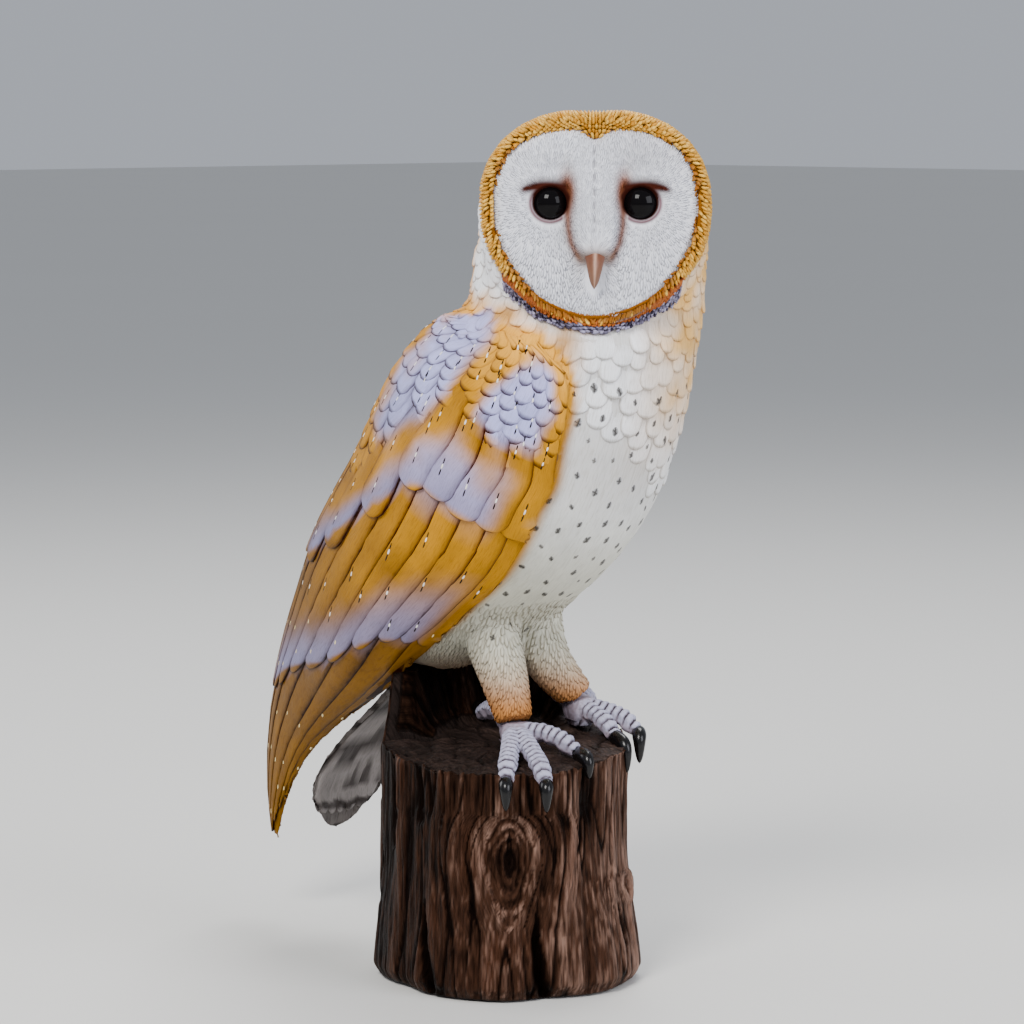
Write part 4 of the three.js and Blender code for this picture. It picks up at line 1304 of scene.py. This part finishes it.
def along_toes(spots, ankle, tips):
    """The distance of each point from the nearest toe's middle line, and its place along it."""
    nearest, along = np.full(len(spots), 1e9), np.zeros(len(spots))
    for tip in tips:
        root = ankle.lerp(tip, 0.08)
        root.z = ankle.z - 4.5
        knuckle = ankle.lerp(tip, 0.55)
        knuckle.z = max(top_face(knuckle.x, knuckle.y), tip.z) + 5.1
        line = route_points([root, knuckle, tip], TOE_STEPS)
        lengths = np.concatenate([[0], np.cumsum(np.linalg.norm(np.diff(line, axis=0), axis=1))])
        gaps = np.linalg.norm(spots[:, None, :] - line[None], axis=2)
        best = gaps.argmin(axis=1)
        closer = gaps.min(axis=1) < nearest
        nearest = np.where(closer, gaps.min(axis=1), nearest)
        # the fine place along the toe, between the line's points
        pitch = lengths[-1] / (TOE_STEPS - 1)
        ahead = (spots - line[best]) * (np.gradient(line, axis=0) / pitch)[best]
        along = np.where(closer, lengths[best] + ahead.sum(axis=1), along)
    return nearest, along


# lavender grey acrylic, a little waxy, brown between the scutes
waxy_grey = sprayed_resin("satin_lavender_grey_acrylic", 0.7, 0.12, 0.48, "#4b3f42", grain=0.6, coat=0.1)
for foot_side, toes in TOES.items():
    foot_mesh = made_with(
        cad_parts["foot_" + foot_side].data.copy(),
        ("REMESH", {"mode": "VOXEL", "voxel_size": 0.42 * MM}),
        ("SMOOTH", {"iterations": 14, "factor": 0.5}),
    )
    foot_mesh.name = "foot_" + foot_side
    spots = spots_of(foot_mesh.vertices)
    normals = np.array([v.normal for v in foot_mesh.vertices])
    nearest, along = along_toes(spots, ANKLES[foot_side], [tip for tip, _ in toes.values()])
    swell = np.abs(np.sin(math.pi * along / SCUTE)) ** 0.7
    upper = smooth(normals[:, 2], -0.35, 0.25) * smooth(along, 2, 7)
    mottle = drift(spots, 0.9)
    pads = 0.35 * (1 - upper) * np.sin(along * 0.9) + 0.12 * mottle
    waist = np.clip(nearest - 5.0, 0, 6) * 0.75  # the sole is drawn in between the toes
    rise = upper * (1.3 * swell - 0.8 + 0.2 * mottle) + pads * smooth(along, 2, 7) - waist
    moved = spots + normals * rise[:, None]
    for tip, point in toes.values():
        # the last joint bends over the edge towards its claw
        drawn = 1 - smooth(np.linalg.norm(spots - np.array(tip), axis=1), 2, 9)
        moved = moved + (TOE_DROP * drawn)[:, None] * np.array((point - tip).normalized())
    foot_mesh.vertices.foreach_set("co", (moved * MM).ravel())
    foot_mesh.update()
    groove = upper * (1 - smooth(swell, 0.3, 0.75))
    tone = spray(TOE_GREY, TOE_ROSE, 0.55 * (1 - upper) + 0.4 * groove + 0.2 * mottle)
    # painted shade: the wash is darkened where the sole is drawn in between the toes
    finished(foot_mesh, tone, np.clip(0.06 + 0.85 * groove + 0.2 * waist, 0, 1), spots)
    keep("foot_" + foot_side + "_scutes", foot_mesh, waxy_grey, "toe_paint", "foot_" + foot_side)

# ---------------------------------------------------------------- claws
# Eight curved black talons, each let into the end of its toe and sealed with gloss.

CLAW_RADII = [(0, 3.3), (0.25, 3.5), (0.5, 3.2), (0.8, 2.1), (0.95, 1.0), (1, 0.0)]
CLAW_STEPS = 40  # points on the line along the middle of a claw

# black enamel: glossy, with duller patches 3 mm across where it is handled
settings = {"Base Color": linear("#0b0a0b"), "Specular IOR Level": 0.3}
claw_black, tree, shader = new_finish("gloss_black_enamel", settings)
cloud = add_node(tree, "TexNoise", {"Scale": 300.0, "Detail": 3.0})
dulled = add_node(tree, "MapRange", {"To Min": 0.14, "To Max": 0.32}, {"Value": cloud.outputs["Fac"]})
tree.links.new(dulled.outputs["Result"], shader.inputs["Roughness"])


def talon(start, bend, point):
    """A claw's mesh, round a curve through three places."""
    line = route_points([start, bend, point], CLAW_STEPS)
    tangent = np.gradient(line, axis=0)
    tangent = tangent / np.linalg.norm(tangent, axis=1)[:, None]
    level = np.cross([0, 0, 1.0], np.array(point - start))
    level = level / np.linalg.norm(level)
    ridge = np.cross(tangent, level)

    def claw_place(turns, along):
        radius = (through(CLAW_RADII, along) * (along > 0.01))[:, None]
        at = along * (CLAW_STEPS - 1)
        spot, up_way = (
            np.stack([np.interp(at, np.arange(CLAW_STEPS), column) for column in table.T], axis=1)
            for table in (line, ridge)
        )
        angle = 2 * math.pi * turns[:, None]
        return spot + radius * (0.88 * np.cos(angle) * level + np.sin(angle) * up_way)

    return rolled("claw", 24, 28, claw_place)[0]


for foot_side, toes in TOES.items():
    for toe, (tip, point) in toes.items():
        outwards = point - tip
        outwards.z = 0
        bend = tip.lerp(point, 0.45) + 0.35 * outwards + Vector((0, 0, 2.2))
        start = tip - 0.6 * outwards.normalized() + TOE_DROP * (point - tip).normalized()
        name = "claw_" + foot_side + "_" + toe
        keep(name + "_talon", talon(start, bend, start.lerp(point, 0.96)), claw_black, "claw_gloss", name)

# ---------------------------------------------------------------- stump
# The base, moulded as a weathered tree stump: long grain that parts round a knot in front,
# deep checks from the foot, a torn lip behind, and brown stain wiped off the ridges.

STUMP_RADIUS = 51.5
STUMP_GIRTH = 324.0
STUMP_COLUMNS, STUMP_ROWS = 470, 150
FACING = -135.0  # the side that carries the knot, in degrees round the axis
KNOTS = [  # arc and height, half width, reach above and below
    (1.4, 58.0, 11.0, 20.0, 28.0),
    (65, 42, 4.5, 6.0, 8.0),
    (-128, 74, 7.0, 10.0, 14.0),
    (150, 84, 5.0, 8.0, 11.0),
]
CHECKS = [  # deep cracks: arc and height at their top and at their foot, half width, depth
    (-37, 39, -32, 2, 1.9, 4.2),
    (12.6, 35, 15.2, 1, 2.2, 5.0),
    (54, 36, 57, 20, 1.6, 2.6),
    (-42, 106, -40, 74, 2.6, 2.8),
    (-60, 104, -62, 60, 2.2, 2.8),
    (-75, 60, -80, 4, 1.8, 3.0),
    (36, 100, 33, 62, 1.0, 1.4),
    (88, 70, 84, 3, 1.7, 3.2),
    (118, 112, 122, 66, 1.6, 2.6),
    (140, 44, 136, 2, 2.0, 3.8),
    (-112, 96, -108, 50, 1.5, 2.6),
    (-140, 52, -146, 3, 1.9, 3.6),
]
# the section from the middle of the foot, up the wall and over the edge to the middle of
# the cut: places along it, shares of the radius, and shares of the torn lip's height
SECTION = [0, 0.03, 0.045, 0.72, 0.75, 0.8, 0.86, 0.89, 1]
SECTION_RADII = [0, 0.93, 1, 1, 0.975, 0.8, 0.66, 0.56, 0]
SECTION_LIP = [0, 0, 0, 1, 1, 0.97, 0.25, 0, 0]
BARK_DARK, BARK, BARK_LIGHT = hue("#120a07"), hue("#3f291e"), hue("#937465")
BARK_RED, BARK_GREY = hue("#4f2c1a"), hue("#3e3532")


def lip_height(degrees):
    return 26 * smooth(degrees, -4, 48) * (1 - smooth(degrees, 118, 137))


def wall_radius(degrees, height):
    low = 1 - smooth(height, 0, 60)
    a = np.radians(degrees)
    lobes = 1.5 * np.cos(5 * a + 0.6) + 0.9 * np.cos(9 * a + 2)
    hollows = 0.8 * np.cos(7 * a + 1.1) + 0.5 * np.cos(13 * a)
    foot = (5.0 - 1.6 * np.cos(a - math.radians(135))) * low - 3 * (1 - smooth(height, 0, 7))
    return STUMP_RADIUS + foot + lobes * low + hollows * (1 - low)


def short_way(arc):
    """A distance round the stump, taken the shorter way."""
    return (arc + STUMP_GIRTH / 2) % STUMP_GIRTH - STUMP_GIRTH / 2


def lump(x, y, z):
    return noise.noise(Vector((x, y, z)))


def knotted(arc, z):
    """Where the grain passes a place as it parts round the knots, and the knots' own relief
    and darkness there."""
    psi, rise, dark = arc, 0.0, 0.0
    for at, up, half, over, below in KNOTS:
        dx, dz = short_way(arc - at), z - up
        tall = dz / over if dz > 0 else -dz / below
        width = half * math.sqrt(max(1 - tall * tall, 0)) if dz > 0 else half * max(1 - tall, 0) ** 0.75
        away = abs(dx) - width
        if away < 0:
            psi = at + 0.8 * away
        else:
            psi -= math.copysign(width, dx) * math.exp(-away / 16)
        if tall < 1.3:
            if away < 0:
                reach = (math.hypot(dx / half, tall) + 0.12 * lump(dx / 9, dz / 9, at)) * half
                rise -= 0.2 * half * (1 - (abs(dx) / max(width, 0.1)) ** 2) * (1 - tall)
                rise += 0.7 * math.sin(reach * 2 * math.pi / 2.6)
                dark += 0.5 * max(0, 1 - reach / (0.35 * half)) - 0.08
            rise += 0.9 * math.exp(-((away - 0.8) ** 2) / 2.2) * max(0, min(1, (1.1 - tall) * 4))
    return psi, rise, dark


def wood(arc, z, on_top, x, y):
    """Relief, place across the grain and darkness of the wood at one place, in millimetres."""
    psi, knot_rise, dark = knotted(arc, z)
    if on_top > 0.5:
        rough = 1.3 * lump(x / 11, y / 11, 0) + 0.7 * lump(x / 4, y / 4, 0) + 0.3 * lump(x / 1.6, y / 1.6, 0)
        gap = math.exp(-((lump(x / 15 + 4, y / 15 + 2, 0) / 0.035) ** 2))
        return rough - 1.5 * gap, psi, 0.35 * gap + 0.1
    angle = math.radians(FACING) + psi / STUMP_RADIUS
    round_x, round_y = STUMP_RADIUS * math.cos(angle), STUMP_RADIUS * math.sin(angle)
    rise = 1.7 * lump(round_x / 10, round_y / 10, z / 95)
    rise += 1.0 * lump(round_x / 3.6, round_y / 3.6, z / 55 + 7)
    rise += 0.8 * lump(round_x / 1.3, round_y / 1.3, z / 26 + 3)
    split = math.exp(-((lump(round_x / 7, round_y / 7, z / 80 + 11) / 0.05) ** 2))
    rise -= 1.2 * split
    for arc_top, high, arc_foot, lowest, half, deep in CHECKS:
        if lowest - 3 < z < high + 3:
            t = (high - z) / (high - lowest)
            way = arc_top + (arc_foot - arc_top) * t + 1.4 * lump(z / 9, arc_top, 0)
            spread = half * (0.35 + 0.65 * math.sin(min(max(t, 0), 1) * 2.2))
            fade = min(1, max(0, (high + 3 - z) / 8)) * min(1, max(0, (z - lowest + 3) / 3))
            cut = math.exp(-((abs(short_way(arc - way)) / spread) ** 3)) * fade
            rise -= deep * cut
            dark += 0.75 * cut
    return rise * (1 if knot_rise == 0 else 0.75) + knot_rise, psi, dark + 0.5 * split


def stump_rows(turns, along):
    """For each corner: its point, relief, place across the grain, darkness, whether it is on
    the cut or on the lip's inner face, and its height."""
    degrees = (FACING + 360 * (turns - 0.5) + 180) % 360 - 180
    a = np.radians(degrees)
    lip = lip_height(degrees)
    radius = wall_radius(degrees, STUMP_TOP)
    edge = top_face(radius * np.cos(a), radius * np.sin(a)) + lip
    wall = along <= 0.72
    height = np.where(along < 0.03, 0, np.interp(along, [0.03, 0.045, 0.72], [0, 0.012, 1]) * edge)
    out = np.where(wall, wall_radius(degrees, height), radius) * np.interp(along, SECTION, SECTION_RADII)
    x, y = out * np.cos(a), out * np.sin(a)
    bump = np.interp(along, [0.75, 0.8, 0.86, 0.89, 1], [0, 0.4, 0, 0, -0.5])
    z = np.where(wall, height, top_face(x, y) + bump + np.interp(along, SECTION, SECTION_LIP) * lip)
    inner = smooth(along, 0.75, 0.8) * (1 - smooth(along, 0.86, 0.89)) * (lip > 3)
    on_lip = inner > 0.3
    top = np.where(wall | on_lip, 0.0, 1.0) * (along > 0.735)
    arcs = STUMP_GIRTH * (turns - 0.5)
    rise, psi, dark = np.array([wood(*row) for row in zip(arcs, z, top, x, y)]).T
    near_edge = smooth(along, 0.7, 0.72) * (1 - smooth(along, 0.76, 0.79))
    rise = rise * smooth(along, 0.03, 0.06) * (1 - 0.5 * near_edge)
    rise = rise * (1 - (1 - np.clip(z / 3, 0, 1)) * wall)
    # the edge of the cut is worn and chipped
    chip = drift(np.stack([17 * np.cos(a), 17 * np.sin(a), 5 + 0 * a], axis=1), 1)
    worn = smooth(along, 0.66, 0.72) * (1 - smooth(along, 0.76, 0.82))
    outwards = np.where(wall, 1.0, np.where(on_lip, -0.6, 0.0))
    x, y = x + np.cos(a) * rise * outwards, y + np.sin(a) * rise * outwards
    z = z + np.where(wall | on_lip, 0.0, rise) + 1.3 * chip * worn
    return np.stack([x, y, np.maximum(z, 0), rise, psi, dark, top, inner, z], axis=1)


stump_mesh, _, _, rows = rolled("stump", STUMP_COLUMNS, STUMP_ROWS, stump_rows)
rise, psi, dark, top, inner, height = rows[:, 3:].T
spots = spots_of(stump_mesh.vertices)
patchy = drift(spots / [1, 1, 2.5], 0.07)
fleck = drift(spots / [1, 1, 14], 1.1)
# painted light and shade: the stain is lighter on the lit side to the right of the view and darker to the
# left
painted_side_light = (0.75 * spots[:, 0] - spots[:, 1]) / 2 / STUMP_RADIUS
tone = np.clip(0.38 + rise / 4.2 + 0.22 * patchy + 0.4 * fleck + 0.42 * painted_side_light - dark, 0, 1)
stain = spray(spray(BARK_DARK, BARK, 2 * tone), BARK_LIGHT, 2 * tone - 1)
stain = spray(stain, BARK_RED, 0.45 * smooth(patchy, 0.0, 0.5) * tone)
stain = spray(stain, BARK_GREY * (0.35 + 0.9 * tone)[:, None], 0.75 * top)
# painted shade: the inner face of the torn lip is darkened near its top
stain = stain * (1 - 0.7 * inner * (height > STUMP_TOP - 8))[:, None]
on_cut, on_wall = spots[:, [0, 2, 1]] * [1, 1, 0], np.stack([psi, spots[:, 2], 0 * psi], axis=1)
lie = np.where(top[:, None] > 0.5, on_cut, on_wall)
finished(stump_mesh, stain, np.clip(0.1 + 0.4 * dark, 0, 1), lie)
# brown stain wiped over resin: satin, dark in the grain and worn pale on the ridges
stained_resin = sprayed_resin("satin_brown_stain_on_resin", 0.8, 0.8, 0.55, "#24160f", grain=1.9)
keep("stump_wood", stump_mesh, stained_resin, "bark_paint", "stump")
